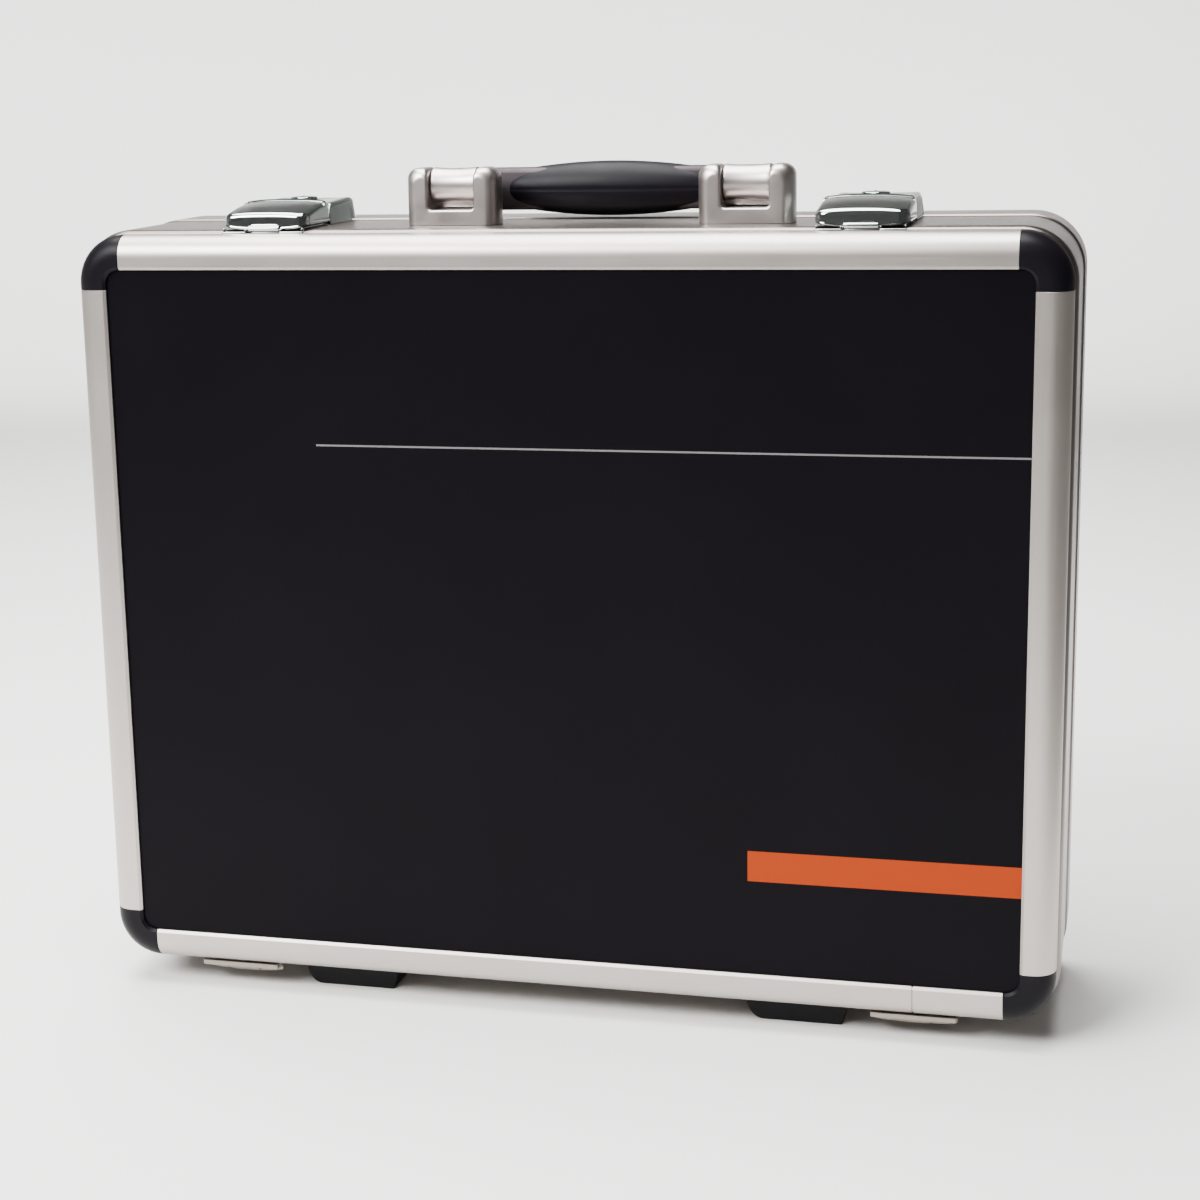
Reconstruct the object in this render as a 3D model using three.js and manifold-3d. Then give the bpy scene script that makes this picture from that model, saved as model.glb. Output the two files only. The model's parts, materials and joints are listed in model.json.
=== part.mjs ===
// Microphone case: a shallow hinged lid on a deep base, bent aluminium frames round black
// laminate panels, two key latches and a folding handle on top, hinges and feet underneath.
// Millimetres. +X runs across the case, +Y into it from the lid's face, +Z up.
// The origin is under the middle of the case, on the surface that it stands on.

import * as THREE from 'three';
import { mergeVertices } from 'three/addons/utils/BufferGeometryUtils.js';
import Module from 'manifold-3d';

const wasm = await Module();
wasm.setup();

// Driving dimensions
const lidWidth = 441.4;
const lidHeight = 344.4;
const caseDepth = 120;
const lidDepth = 14.4;
const cornerRadius = 22;
const frameFace = 15.7;
const footHeight = 11;

// Clearances shared by every sub-part
const seatGap = 0.2;
const partingGap = 0.3;
const runningGap = 0.3;
const overrun = 1;
const weld = 0.05;

const frame = {
  wall: 2,
  lidRound: 11,
  rearRound: 13,
  cornerLeg: 23.4,
  railGap: 0.2,
};
const panel = { thickness: 3, tuck: 5.5 };
const band = {
  end: 76,
  step: 1,
  wall: 2,
  rearStep: 0.8,
  lipHeight: 3.5,
  lipWall: 1.5,
  lipGap: 0.4,
  lipRoot: 2.5,
  spigot: 6,
  spigotWall: 2,
};
const foam = { inset: 4.8, floorThickness: 24, lidThickness: 7.6, gap: 0.4 };
const pocket = {
  rim: 22.9,
  columnWeb: 35,
  rowWeb: 30,
  round: 12,
  mountWidth: 150,
  mountHeight: 190,
  microphoneHeight: 90,
  cableHeight: 110,
};
const hinge = {
  fromEnd: 61.7,
  width: 38,
  knuckleRadius: 2.7,
  pinRadius: 1.2,
  boreGap: 0.2,
  middleKnuckle: 15.2,
  knuckleGap: 0.4,
  leafThickness: 1.4,
  baseLeafLength: 17,
  lidLeafLength: 8,
  lidLeafThickness: 2.2,
};
const foot = {
  fromEnd: 114.7,
  topWidth: 46,
  bottomWidth: 40,
  length: 24,
  front: 17,
  rear: 80,
};
const latch = {
  handleGap: 11.5,
  width: 40,
  wall: 1.8,
  front: 14.2,
  frontHeight: 7.3,
  frontRound: 2.2,
  underside: 1.3,
  pivot: 42,
  pivotHeight: 6.2,
  eyeRadius: 4,
  pinRadius: 1.5,
  plateThickness: 0.8,
  plateInset: 2,
  lugOffset: 12,
  lugWidth: 4,
  housingEnd: 88,
  housingHeight: 10.8,
  housingRound: 3,
  notchHeight: 4.9,
};
const hook = {
  width: 13,
  thickness: 1.4,
  height: 4.4,
  tip: 11.4,
  tipLength: 1.6,
  tipBottom: 1.6,
  eyeRadius: 3.2,
};
const keeper = {
  width: 38,
  front: 11.2,
  height: 1,
  tabWidth: 13,
  tabFront: 13.1,
  tabTop: 1.3,
  rearGap: 0.4,
};
const lock = {
  place: 67,
  radius: 6.3,
  top: 11.9,
  flange: 1.2,
  slotWidth: 1.4,
  slotLength: 7,
  slotDepth: 2.4,
};
const handle = {
  offset: 14,
  spacing: 132,
  axis: 46,
  axisHeight: 17.4,
  pinRadius: 2,
  barrelRadius: 6.8,
  barrelWaist: 6.3,
  barGap: 18,
  barDepth: 12,
  barBottom: 4.8,
  barTop: 23.8,
  armWidth: 18,
  armRoot: 11.2,
  armKnee: 12,
  armKneeBottom: 7.6,
};
const bracket = {
  width: 42,
  depth: 24,
  height: 25.3,
  notch: 21.5,
  notchFloor: 6.9,
  notchRound: 3,
  earRound: 5,
  sideRound: 8,
};
const grip = { halfLength: 55, halfDepth: 11.5, halfHeight: 12.2, middleHeight: 14.2, fullness: 2.4 };

const arcSteps = 6;
const sectionSteps = 4;
const roundSteps = 16;
const gripSteps = 12;

// Places that follow from the driving dimensions
const middleZ = footHeight + band.step + lidHeight / 2;
const baseBottom = footHeight;
const lidBottom = baseBottom + band.step;
const bandTop = middleZ + lidHeight / 2 + band.step;
const rearOut = band.step + band.rearStep;
const hingeOffset = lidWidth / 2 - hinge.fromEnd;
const footOffset = lidWidth / 2 - foot.fromEnd;
const handleReach = handle.offset + (handle.spacing + bracket.width) / 2;
const latchOffset = handleReach + latch.handleGap + latch.width / 2;
const depthAt = (depth) => depth - caseDepth / 2;

const across = new THREE.Vector3(1, 0, 0);
const inward = new THREE.Vector3(0, 1, 0);
const upward = new THREE.Vector3(0, 0, 1);

// A closed geometry as a solid, its winding turned outward where a profile ran the other way
function solid(geometry) {
  geometry.deleteAttribute('normal');
  geometry.deleteAttribute('uv');
  const merged = mergeVertices(geometry);
  const points = merged.attributes.position.array;
  const corners = [];
  const index = merged.index.array;
  for (let i = 0; i < index.length; i += 3) {
    const [a, b, c] = [index[i], index[i + 1], index[i + 2]];
    if (a !== b && b !== c && c !== a) corners.push(a, b, c);
  }
  if (signedVolume(points, corners) < 0) corners.reverse();
  const mesh = new wasm.Mesh({ numProp: 3, vertProperties: points, triVerts: Uint32Array.from(corners) });
  return new wasm.Manifold(mesh);
}

function signedVolume(points, corners) {
  const at = (i) => new THREE.Vector3().fromArray(points, 3 * i);
  let total = 0;
  for (let i = 0; i < corners.length; i += 3) {
    total += at(corners[i]).dot(at(corners[i + 1]).cross(at(corners[i + 2])));
  }
  return total;
}

function geometryOf(body) {
  const mesh = body.getMesh();
  const geometry = new THREE.BufferGeometry();
  geometry.setAttribute('position', new THREE.BufferAttribute(mesh.vertProperties, mesh.numProp));
  geometry.setIndex(new THREE.BufferAttribute(mesh.triVerts, 1));
  geometry.computeVertexNormals();
  return geometry;
}

function block(x0, x1, y0, y1, z0, z1) {
  const geometry = new THREE.BoxGeometry(x1 - x0, y1 - y0, z1 - z0);
  return solid(geometry.translate((x0 + x1) / 2, (y0 + y1) / 2, (z0 + z1) / 2));
}

// A cylinder along one axis, centred at a point
function rod(direction, centre, radius, length) {
  const geometry = new THREE.CylinderGeometry(radius, radius, length, roundSteps);
  const turn = new THREE.Quaternion().setFromUnitVectors(inward, direction);
  return solid(geometry.applyQuaternion(turn).translate(...centre));
}

function roundedRect(width, height, radius, x = 0, y = 0) {
  const shape = new THREE.Shape();
  const [right, top] = [width / 2 - radius, height / 2 - radius];
  shape.absarc(x + right, y + top, radius, 0, Math.PI / 2);
  shape.absarc(x - right, y + top, radius, Math.PI / 2, Math.PI);
  shape.absarc(x - right, y - top, radius, Math.PI, 1.5 * Math.PI);
  shape.absarc(x + right, y - top, radius, 1.5 * Math.PI, 2 * Math.PI);
  return shape;
}

function polygon(points) {
  return new THREE.Shape(points.map(([x, y]) => new THREE.Vector2(x, y)));
}

// An outline seen from the front (X, Z), carried from one depth to another
function plateOf(shape, from, to) {
  const settings = { depth: to - from, bevelEnabled: false, curveSegments: arcSteps };
  const geometry = new THREE.ExtrudeGeometry(shape, settings);
  return solid(geometry.rotateX(Math.PI / 2).translate(0, depthAt(to), middleZ));
}

// The outline of the lid grown outward by an amount, as a plate or as a ring
function outline(grown) {
  return roundedRect(lidWidth + 2 * grown, lidHeight + 2 * grown, cornerRadius + grown);
}

function ring(outer, inner, from, to) {
  const shape = outline(outer);
  shape.holes.push(outline(inner));
  return plateOf(shape, from, to);
}

// A side outline (Y, Z) carried along X, centred at x
function sideOf(shape, x, width) {
  const settings = { depth: width, bevelEnabled: false, curveSegments: arcSteps };
  const geometry = new THREE.ExtrudeGeometry(shape, settings);
  const basis = new THREE.Matrix4().makeBasis(inward, upward, across);
  return solid(geometry.applyMatrix4(basis).translate(x - width / 2, 0, 0));
}

// The grown outline as a block whose front and back edges are rounded
function softBlock(grown, round, from, to) {
  const settings = {
    depth: to - from - 2 * round,
    bevelThickness: round,
    bevelSize: round,
    bevelOffset: -round,
    bevelSegments: sectionSteps,
    curveSegments: arcSteps,
  };
  const geometry = new THREE.ExtrudeGeometry(outline(grown), settings);
  return solid(geometry.rotateX(Math.PI / 2).translate(0, depthAt(to - round), middleZ));
}

// A hollow soft block with its face opened for a panel, kept between two depths
function frameShell(grown, round, from, to, keepFrom, keepTo) {
  const { wall } = frame;
  const inner = softBlock(grown - wall, round - wall, from + wall, to - wall);
  const opening = plateOf(outline(-frameFace), from - overrun, to + overrun);
  const kept = plateOf(outline(grown + overrun), keepFrom, keepTo);
  return softBlock(grown, round, from, to).subtract(inner).subtract(opening).intersect(kept);
}

const finishes = {
  aluminium: new THREE.MeshStandardMaterial({ color: '#c9c4c0', roughness: 0.35, metalness: 1 }),
  laminate: new THREE.MeshStandardMaterial({ color: '#211e23', roughness: 0.5, metalness: 0 }),
  blackPlastic: new THREE.MeshStandardMaterial({ color: '#151417', roughness: 0.55, metalness: 0 }),
  chrome: new THREE.MeshStandardMaterial({ color: '#c4c8ca', roughness: 0.12, metalness: 1 }),
  nickel: new THREE.MeshStandardMaterial({ color: '#b9b4ac', roughness: 0.3, metalness: 1 }),
  darkSteel: new THREE.MeshStandardMaterial({ color: '#4a484b', roughness: 0.4, metalness: 1 }),
  rubber: new THREE.MeshStandardMaterial({ color: '#1a191b', roughness: 0.85, metalness: 0 }),
  foam: new THREE.MeshStandardMaterial({ color: '#2c2b2e', roughness: 0.95, metalness: 0 }),
};

const microphoneCase = new THREE.Group();

function piece(parent, name, body, material) {
  const mesh = new THREE.Mesh(geometryOf(body), material);
  mesh.name = name;
  parent.add(mesh);
}

const sides = [
  { name: 'left', sx: -1 },
  { name: 'right', sx: 1 },
];

function lid() {
  const group = new THREE.Group();
  const shell = frameShell(0, frame.lidRound, 0, lidDepth + 2 * frame.lidRound, 0, lidDepth);
  const [front, back] = [depthAt(-overrun), depthAt(lidDepth + overrun)];
  const cut = (x0, x1, z0, z1) => shell.intersect(block(x0, x1, front, back, z0, z1));
  const [halfWidth, halfHeight] = [lidWidth / 2, lidHeight / 2];
  const railX = halfWidth - frame.cornerLeg - frame.railGap;
  const railZ = halfHeight - frame.cornerLeg - frame.railGap;
  for (const { name, sx } of sides) {
    const [x0, x1] = [sx * halfWidth / 2, sx * (halfWidth + overrun)].sort((p, q) => p - q);
    const upright = cut(x0, x1, middleZ - railZ, middleZ + railZ);
    piece(group, `lid_rail_${name}`, upright, finishes.aluminium);
  }
  for (const [name, sz] of [['top', 1], ['bottom', -1]]) {
    const [z0, z1] = [sz * halfHeight / 2, sz * (halfHeight + overrun)].sort((p, q) => p - q);
    const level = cut(-railX, railX, middleZ + z0, middleZ + z1);
    piece(group, `lid_rail_${name}`, level, finishes.aluminium);
    for (const side of sides) {
      const edgeX = [side.sx * (halfWidth - frame.cornerLeg), side.sx * (halfWidth + overrun)];
      const edgeZ = [sz * (halfHeight - frame.cornerLeg), sz * (halfHeight + overrun)];
      const [low, high] = [Math.min(...edgeZ), Math.max(...edgeZ)];
      const corner = cut(Math.min(...edgeX), Math.max(...edgeX), middleZ + low, middleZ + high);
      piece(group, `lid_corner_${name}_${side.name}`, corner, finishes.blackPlastic);
    }
  }
  const panelFront = frame.wall + seatGap;
  const panelBack = panelFront + panel.thickness;
  const panelShape = outline(panel.tuck - frameFace);
  piece(group, 'lid_panel', plateOf(panelShape, panelFront, panelBack), finishes.laminate);
  const padFront = panelBack + seatGap;
  const pad = plateOf(outline(-foam.inset), padFront, padFront + foam.lidThickness);
  piece(group, 'lid_foam', pad, finishes.foam);
  return group;
}

function base() {
  const group = new THREE.Group();
  const front = lidDepth + partingGap;
  const lipOuter = -frame.wall - band.lipGap;
  const lipInner = lipOuter - band.lipWall;
  const wallInner = band.step - band.wall;
  const shell = ring(band.step, wallInner, front, band.end)
    .add(ring(0, lipInner, front, front + band.lipRoot))
    .add(ring(lipOuter, lipInner, lidDepth - band.lipHeight, front + weld));
  piece(group, 'base_band', shell, finishes.aluminium);
  piece(group, 'base_rear_frame', rearFrame(wallInner), finishes.aluminium);
  const panelBack = caseDepth - frame.wall - seatGap;
  const panelFront = panelBack - panel.thickness;
  const backPanel = plateOf(outline(panel.tuck - frameFace), panelFront, panelBack);
  piece(group, 'base_back_panel', backPanel, finishes.laminate);
  const floorBack = panelFront - foam.gap;
  const floorFront = floorBack - foam.floorThickness;
  const foamFloor = plateOf(outline(-foam.inset), floorFront, floorBack);
  piece(group, 'base_foam_floor', foamFloor, finishes.foam);
  const tray = foamTray(front + band.lipRoot, floorFront - seatGap);
  piece(group, 'base_foam_tray', tray, finishes.foam);
  return group;
}

// One tall pocket for the shock mount, and beside it one for the microphone over one for its cable
function foamTray(from, to) {
  const { rim, columnWeb, rowWeb, round } = pocket;
  const edge = lidWidth / 2 - foam.inset - rim;
  const columnLeft = pocket.mountWidth + columnWeb - edge;
  const columnWidth = edge - columnLeft;
  const columnX = (columnLeft + edge) / 2;
  const rowsTop = (pocket.microphoneHeight + rowWeb + pocket.cableHeight) / 2;
  const shape = outline(-foam.inset);
  const open = (width, height, x, z) => shape.holes.push(roundedRect(width, height, round, x, z));
  open(pocket.mountWidth, pocket.mountHeight, pocket.mountWidth / 2 - edge, 0);
  open(columnWidth, pocket.microphoneHeight, columnX, rowsTop - pocket.microphoneHeight / 2);
  open(columnWidth, pocket.cableHeight, columnX, pocket.cableHeight / 2 - rowsTop);
  return plateOf(shape, from, to);
}

// The rear frame laps inside the band with a spigot and turns round onto the back face
function rearFrame(bandInner) {
  const spigotOuter = bandInner - seatGap;
  const spigotInner = spigotOuter - band.spigotWall;
  const front = band.end + seatGap;
  const hidden = front - 2 * frame.rearRound;
  return frameShell(rearOut, frame.rearRound, hidden, caseDepth, front, caseDepth)
    .add(ring(rearOut - weld, spigotInner, front, front + frame.wall))
    .add(ring(spigotOuter, spigotInner, band.end - band.spigot, front + weld));
}

function feet() {
  const group = new THREE.Group();
  const { topWidth, bottomWidth, length } = foot;
  const rows = [
    { place: 'front', from: foot.front, roof: baseBottom - seatGap - middleZ },
    { place: 'rear', from: foot.rear, roof: baseBottom - band.rearStep - seatGap - middleZ },
  ];
  const under = -middleZ;
  for (const { place, from, roof } of rows) {
    for (const { name, sx } of sides) {
      const x = sx * footOffset;
      const shape = polygon([
        [x - bottomWidth / 2, under], [x + bottomWidth / 2, under],
        [x + topWidth / 2, roof], [x - topWidth / 2, roof],
      ]);
      const footBody = plateOf(shape, from, from + length);
      piece(group, `foot_${place}_${name}`, footBody, finishes.rubber);
    }
  }
  return group;
}

// Butt hinge under the parting line: the lid has the outer knuckles, the base the middle one
function hinges() {
  const group = new THREE.Group();
  const axisDepth = lidDepth + partingGap / 2;
  const axisZ = baseBottom - runningGap - hinge.knuckleRadius;
  const boreRadius = hinge.pinRadius + hinge.boreGap;
  const clear = hinge.knuckleRadius + runningGap;
  const half = hinge.width / 2;
  const middle = hinge.middleKnuckle / 2;
  const leafTop = baseBottom - seatGap;
  const leafUnder = leafTop - hinge.leafThickness;
  for (const { name, sx } of sides) {
    const x = sx * hingeOffset;
    const y = depthAt(axisDepth);
    const bore = rod(across, [x, y, axisZ], boreRadius, hinge.width + overrun);
    const knuckle = (x0, x1) => rod(across, [(x0 + x1) / 2, y, axisZ], hinge.knuckleRadius, x1 - x0);
    const baseLeaf = block(x - half, x + half, y + clear, y + hinge.baseLeafLength, leafUnder, leafTop)
      .add(block(x - middle, x + middle, y, y + clear + weld, leafUnder, leafTop))
      .add(knuckle(x - middle, x + middle))
      .subtract(bore);
    piece(group, `hinge_base_leaf_${name}`, baseLeaf, finishes.nickel);
    const lidTop = lidBottom - seatGap;
    const lidUnder = lidTop - hinge.lidLeafThickness;
    let lidLeaf = block(x - half, x + half, y - hinge.lidLeafLength, y - clear, lidUnder, lidTop);
    const inner = middle + hinge.knuckleGap;
    for (const [x0, x1] of [[x - half, x - inner], [x + inner, x + half]]) {
      lidLeaf = lidLeaf.add(block(x0, x1, y - clear - weld, y - partingGap, lidUnder, lidTop));
      lidLeaf = lidLeaf.add(knuckle(x0, x1));
    }
    piece(group, `hinge_lid_leaf_${name}`, lidLeaf.subtract(bore), finishes.nickel);
    const pin = rod(across, [x, y, axisZ], hinge.pinRadius, hinge.width);
    piece(group, `hinge_pin_${name}`, pin, finishes.nickel);
  }
  return group;
}

function latches() {
  const group = new THREE.Group();
  for (const { name, sx } of sides) {
    const x = sx * latchOffset;
    piece(group, `latch_plate_${name}`, latchPlate(x), finishes.chrome);
    piece(group, `latch_lever_${name}`, latchLever(x), finishes.chrome);
    piece(group, `latch_hook_${name}`, latchHook(x), finishes.chrome);
    piece(group, `latch_pin_${name}`, latchPin(x, latch.pinRadius, 0), finishes.nickel);
    piece(group, `latch_housing_${name}`, latchHousing(x), finishes.chrome);
    piece(group, `latch_keeper_${name}`, latchKeeper(x), finishes.chrome);
    piece(group, `latch_lock_${name}`, latchLock(x), finishes.chrome);
  }
  return group;
}

const pivotY = depthAt(latch.pivot);
const pivotZ = bandTop + latch.pivotHeight;

function latchPin(x, radius, extra) {
  return rod(across, [x, pivotY, pivotZ], radius, latch.width - 2 * latch.wall + extra);
}

function latchPlate(x) {
  const half = latch.width / 2 - latch.plateInset;
  const bottom = bandTop + seatGap;
  const top = bottom + latch.plateThickness;
  const lugRadius = latch.eyeRadius - seatGap;
  const front = depthAt(latch.front + latch.plateInset);
  let body = block(x - half, x + half, front, pivotY + latch.eyeRadius, bottom, top);
  for (const sign of [-1, 1]) {
    const lugX = x + sign * latch.lugOffset;
    const reach = latch.lugWidth / 2;
    const [near, far] = [pivotY - lugRadius, pivotY + lugRadius];
    body = body.add(rod(across, [lugX, pivotY, pivotZ], lugRadius, latch.lugWidth));
    body = body.add(block(lugX - reach, lugX + reach, near, far, bottom, pivotZ));
  }
  return body.subtract(latchPin(x, latch.pinRadius + runningGap / 2, overrun));
}

// The lever is a cover that is open underneath, with a round rear end about its pin
function latchLever(x) {
  const { width, wall, eyeRadius, frontRound } = latch;
  const bottom = bandTop + latch.underside;
  const frontY = depthAt(latch.front);
  const frontTop = bandTop + latch.frontHeight;
  const outer = new THREE.Shape();
  outer.moveTo(frontY, bottom);
  outer.absarc(frontY + frontRound, frontTop - frontRound, frontRound, Math.PI, Math.PI / 2, true);
  outer.absarc(pivotY, pivotZ, eyeRadius, Math.PI / 2, -Math.PI / 2, true);
  outer.lineTo(pivotY - weld, bottom);
  const cavityRear = pivotY - eyeRadius + weld;
  const cavity = polygon([
    [frontY + wall, bottom - overrun],
    [frontY + wall, frontTop - wall],
    [cavityRear, pivotZ + eyeRadius - wall - weld],
    [cavityRear, bottom - overrun],
  ]);
  const slotFront = pivotY - eyeRadius - runningGap;
  const slotRear = pivotY + eyeRadius + overrun;
  const [slotBottom, slotTop] = [bandTop, pivotZ + eyeRadius + overrun];
  const slot = (centre, slotWidth) => block(centre - slotWidth / 2, centre + slotWidth / 2,
    slotFront, slotRear, slotBottom, slotTop);
  let body = sideOf(outer, x, width).subtract(sideOf(cavity, x, width - 2 * wall));
  for (const sign of [-1, 1]) {
    body = body.subtract(slot(x + sign * latch.lugOffset, latch.lugWidth + 2 * runningGap));
  }
  body = body.subtract(slot(x, hook.width + 2 * runningGap));
  const notchHalf = hook.width / 2 + overrun;
  const notch = block(x - notchHalf, x + notchHalf, frontY - overrun, frontY + wall + overrun,
    bandTop, bandTop + latch.notchHeight);
  return body.subtract(notch).subtract(latchPin(x, latch.pinRadius + runningGap / 2, 0));
}

function latchHook(x) {
  const bottom = bandTop + hook.height - hook.thickness;
  const top = bandTop + hook.height;
  const half = hook.width / 2;
  const tipY = depthAt(hook.tip);
  return block(x - half, x + half, tipY, pivotY, bottom, top)
    .add(block(x - half, x + half, tipY, tipY + hook.tipLength, bandTop + hook.tipBottom, top))
    .add(rod(across, [x, pivotY, pivotZ], hook.eyeRadius, hook.width))
    .subtract(latchPin(x, latch.pinRadius + runningGap / 2, 0));
}

function latchHousing(x) {
  const { width, wall, housingRound } = latch;
  const front = pivotY + latch.eyeRadius + runningGap;
  const rear = depthAt(latch.housingEnd);
  const bottom = bandTop + seatGap;
  const stepY = depthAt(band.end) - seatGap;
  const stepZ = bandTop + band.rearStep + seatGap;
  const top = bandTop + latch.housingHeight;
  const shoulder = pivotZ + latch.eyeRadius;
  const outer = new THREE.Shape();
  outer.moveTo(front, bottom);
  outer.lineTo(front, shoulder - wall / 2);
  outer.lineTo(front + wall / 2, shoulder);
  outer.absarc(rear - housingRound, top - housingRound, housingRound, Math.PI / 2, 0, true);
  outer.lineTo(rear, stepZ);
  outer.lineTo(stepY, stepZ);
  outer.lineTo(stepY, bottom);
  const half = width / 2 - wall;
  const pocket = block(x - half, x + half, front + wall, rear - wall, bandTop, shoulder - wall);
  const bore = rod(upward, [x, depthAt(lock.place), top], lock.radius + runningGap, latch.housingHeight);
  return sideOf(outer, x, width).subtract(pocket).subtract(bore);
}

function latchLock(x) {
  const y = depthAt(lock.place);
  const top = bandTop + lock.top;
  const flangeTop = pivotZ + latch.eyeRadius - latch.wall - runningGap;
  const flangeBottom = flangeTop - latch.wall;
  const flangeMiddle = (flangeTop + flangeBottom) / 2;
  const [halfSlot, halfLength] = [lock.slotWidth / 2, lock.slotLength / 2];
  const slot = block(x - halfSlot, x + halfSlot, y - halfLength, y + halfLength,
    top - lock.slotDepth, top + overrun);
  return rod(upward, [x, y, (top + flangeBottom) / 2], lock.radius, top - flangeBottom)
    .add(rod(upward, [x, y, flangeMiddle], lock.radius + lock.flange, flangeTop - flangeBottom))
    .subtract(slot);
}

// A strip on the lid's top rail with a tab that the hook's tip closes over
function latchKeeper(x) {
  const bottom = bandTop - band.step + seatGap;
  const rear = depthAt(lidDepth - keeper.rearGap);
  const half = keeper.width / 2;
  const tabHalf = keeper.tabWidth / 2;
  return block(x - half, x + half, depthAt(keeper.front), rear, bottom, bottom + keeper.height)
    .add(block(x - tabHalf, x + tabHalf, depthAt(keeper.tabFront), rear, bottom, bandTop + keeper.tabTop));
}

const handleY = depthAt(handle.axis);
const handleZ = bandTop + handle.axisHeight;

function carryHandle() {
  const group = new THREE.Group();
  for (const { name, sx } of sides) {
    const x = handle.offset + (sx * handle.spacing) / 2;
    piece(group, `handle_bracket_${name}`, handleBracket(x), finishes.nickel);
    const pin = rod(across, [x, handleY, handleZ], handle.pinRadius, bracket.width - overrun);
    piece(group, `handle_pin_${name}`, pin, finishes.nickel);
  }
  const bar = handleBarBlock(0);
  piece(group, 'handle_bar', handleBar(bar), finishes.darkSteel);
  piece(group, 'handle_grip', handleGrip(), finishes.blackPlastic);
  return group;
}

// A U-shaped casting: two round-topped ears with the barrel between them
function handleBracket(x) {
  const { width, depth, height, notch, notchFloor, notchRound, earRound, sideRound } = bracket;
  const foot0 = bandTop + seatGap - middleZ;
  const floor = bandTop + notchFloor - middleZ;
  const top = bandTop + height - middleZ;
  const [half, notchHalf] = [width / 2, notch / 2];
  const shape = new THREE.Shape();
  shape.moveTo(x - half, foot0);
  shape.lineTo(x + half, foot0);
  shape.absarc(x + half - earRound, top - earRound, earRound, 0, Math.PI / 2);
  shape.absarc(x + notchHalf + earRound, top - earRound, earRound, Math.PI / 2, Math.PI);
  shape.absarc(x + notchHalf - notchRound, floor + notchRound, notchRound, 0, -Math.PI / 2, true);
  shape.absarc(x - notchHalf + notchRound, floor + notchRound, notchRound, -Math.PI / 2, -Math.PI, true);
  shape.absarc(x - notchHalf - earRound, top - earRound, earRound, 0, Math.PI / 2);
  shape.absarc(x - half + earRound, top - earRound, earRound, Math.PI / 2, Math.PI);
  const [front, rear] = [handle.axis - depth / 2, handle.axis + depth / 2];
  const side = new THREE.Shape();
  side.moveTo(depthAt(front), bandTop);
  side.lineTo(depthAt(rear), bandTop);
  side.absarc(depthAt(rear) - sideRound, bandTop + height - sideRound, sideRound, 0, Math.PI / 2);
  side.absarc(depthAt(front) + sideRound, bandTop + height - sideRound, sideRound, Math.PI / 2, Math.PI);
  return plateOf(shape, front, rear)
    .intersect(sideOf(side, x, width + overrun))
    .subtract(rod(across, [x, handleY, handleZ], handle.pinRadius + runningGap / 2, width + overrun));
}

// The cross bar of the handle, grown all round by a clearance
function handleBarBlock(grown) {
  const half = (handle.spacing + handle.armWidth) / 2 + grown;
  const near = handleY + handle.barGap - grown;
  const far = handleY + handle.barGap + handle.barDepth + grown;
  return block(handle.offset - half, handle.offset + half, near, far,
    bandTop + handle.barBottom - grown, bandTop + handle.barTop + grown);
}

function handleBar(bar) {
  const barrelLength = bracket.notch - 2 * runningGap;
  const boreRadius = handle.pinRadius + runningGap / 2;
  const near = handleY + handle.barGap + weld;
  const arm = polygon([
    [handleY, bandTop + handle.armRoot],
    [handleY + handle.armKnee, bandTop + handle.armKneeBottom],
    [near, bandTop + handle.barBottom],
    [near, bandTop + handle.barTop],
    [handleY, bandTop + handle.barTop],
  ]);
  let body = bar;
  for (const { sx } of sides) {
    const x = handle.offset + (sx * handle.spacing) / 2;
    body = body.add(sideOf(arm, x, handle.armWidth)).add(barrel(x, barrelLength));
    body = body.subtract(rod(across, [x, handleY, handleZ], boreRadius, barrelLength + overrun));
  }
  return body;
}

// A barrel along X, waisted in the middle
function barrel(x, length) {
  const half = length / 2;
  const points = [new THREE.Vector2(0, -half)];
  for (let i = 0; i <= sectionSteps; i += 1) {
    const t = (2 * i) / sectionSteps - 1;
    const radius = handle.barrelWaist + (handle.barrelRadius - handle.barrelWaist) * t * t;
    points.push(new THREE.Vector2(radius, t * half));
  }
  points.push(new THREE.Vector2(0, half));
  const geometry = new THREE.LatheGeometry(points, roundSteps).rotateZ(-Math.PI / 2);
  return solid(geometry.translate(x, handleY, handleZ));
}

// A long rounded grip, drawn in to both ends, that the cross bar runs through
function handleGrip() {
  const { halfLength, halfDepth, halfHeight, fullness } = grip;
  const points = [];
  for (let i = 0; i <= gripSteps; i += 1) {
    const t = -Math.cos((Math.PI * i) / gripSteps);
    const radius = (1 - Math.abs(t) ** fullness) ** (1 / 2);
    points.push(new THREE.Vector2(i === 0 || i === gripSteps ? 0 : radius, t));
  }
  const geometry = new THREE.LatheGeometry(points, roundSteps).rotateZ(-Math.PI / 2);
  geometry.scale(halfLength, halfDepth, halfHeight);
  const y = handleY + handle.barGap + handle.barDepth / 2;
  return solid(geometry.translate(handle.offset, y, bandTop + grip.middleHeight))
    .subtract(handleBarBlock(runningGap));
}

microphoneCase.add(lid(), base(), feet(), hinges(), latches(), carryHandle());

export default microphoneCase;
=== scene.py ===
import json

import bmesh
import bpy
import numpy as np
from mathutils import Matrix, Vector
from mathutils.geometry import tessellate_polygon


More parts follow.
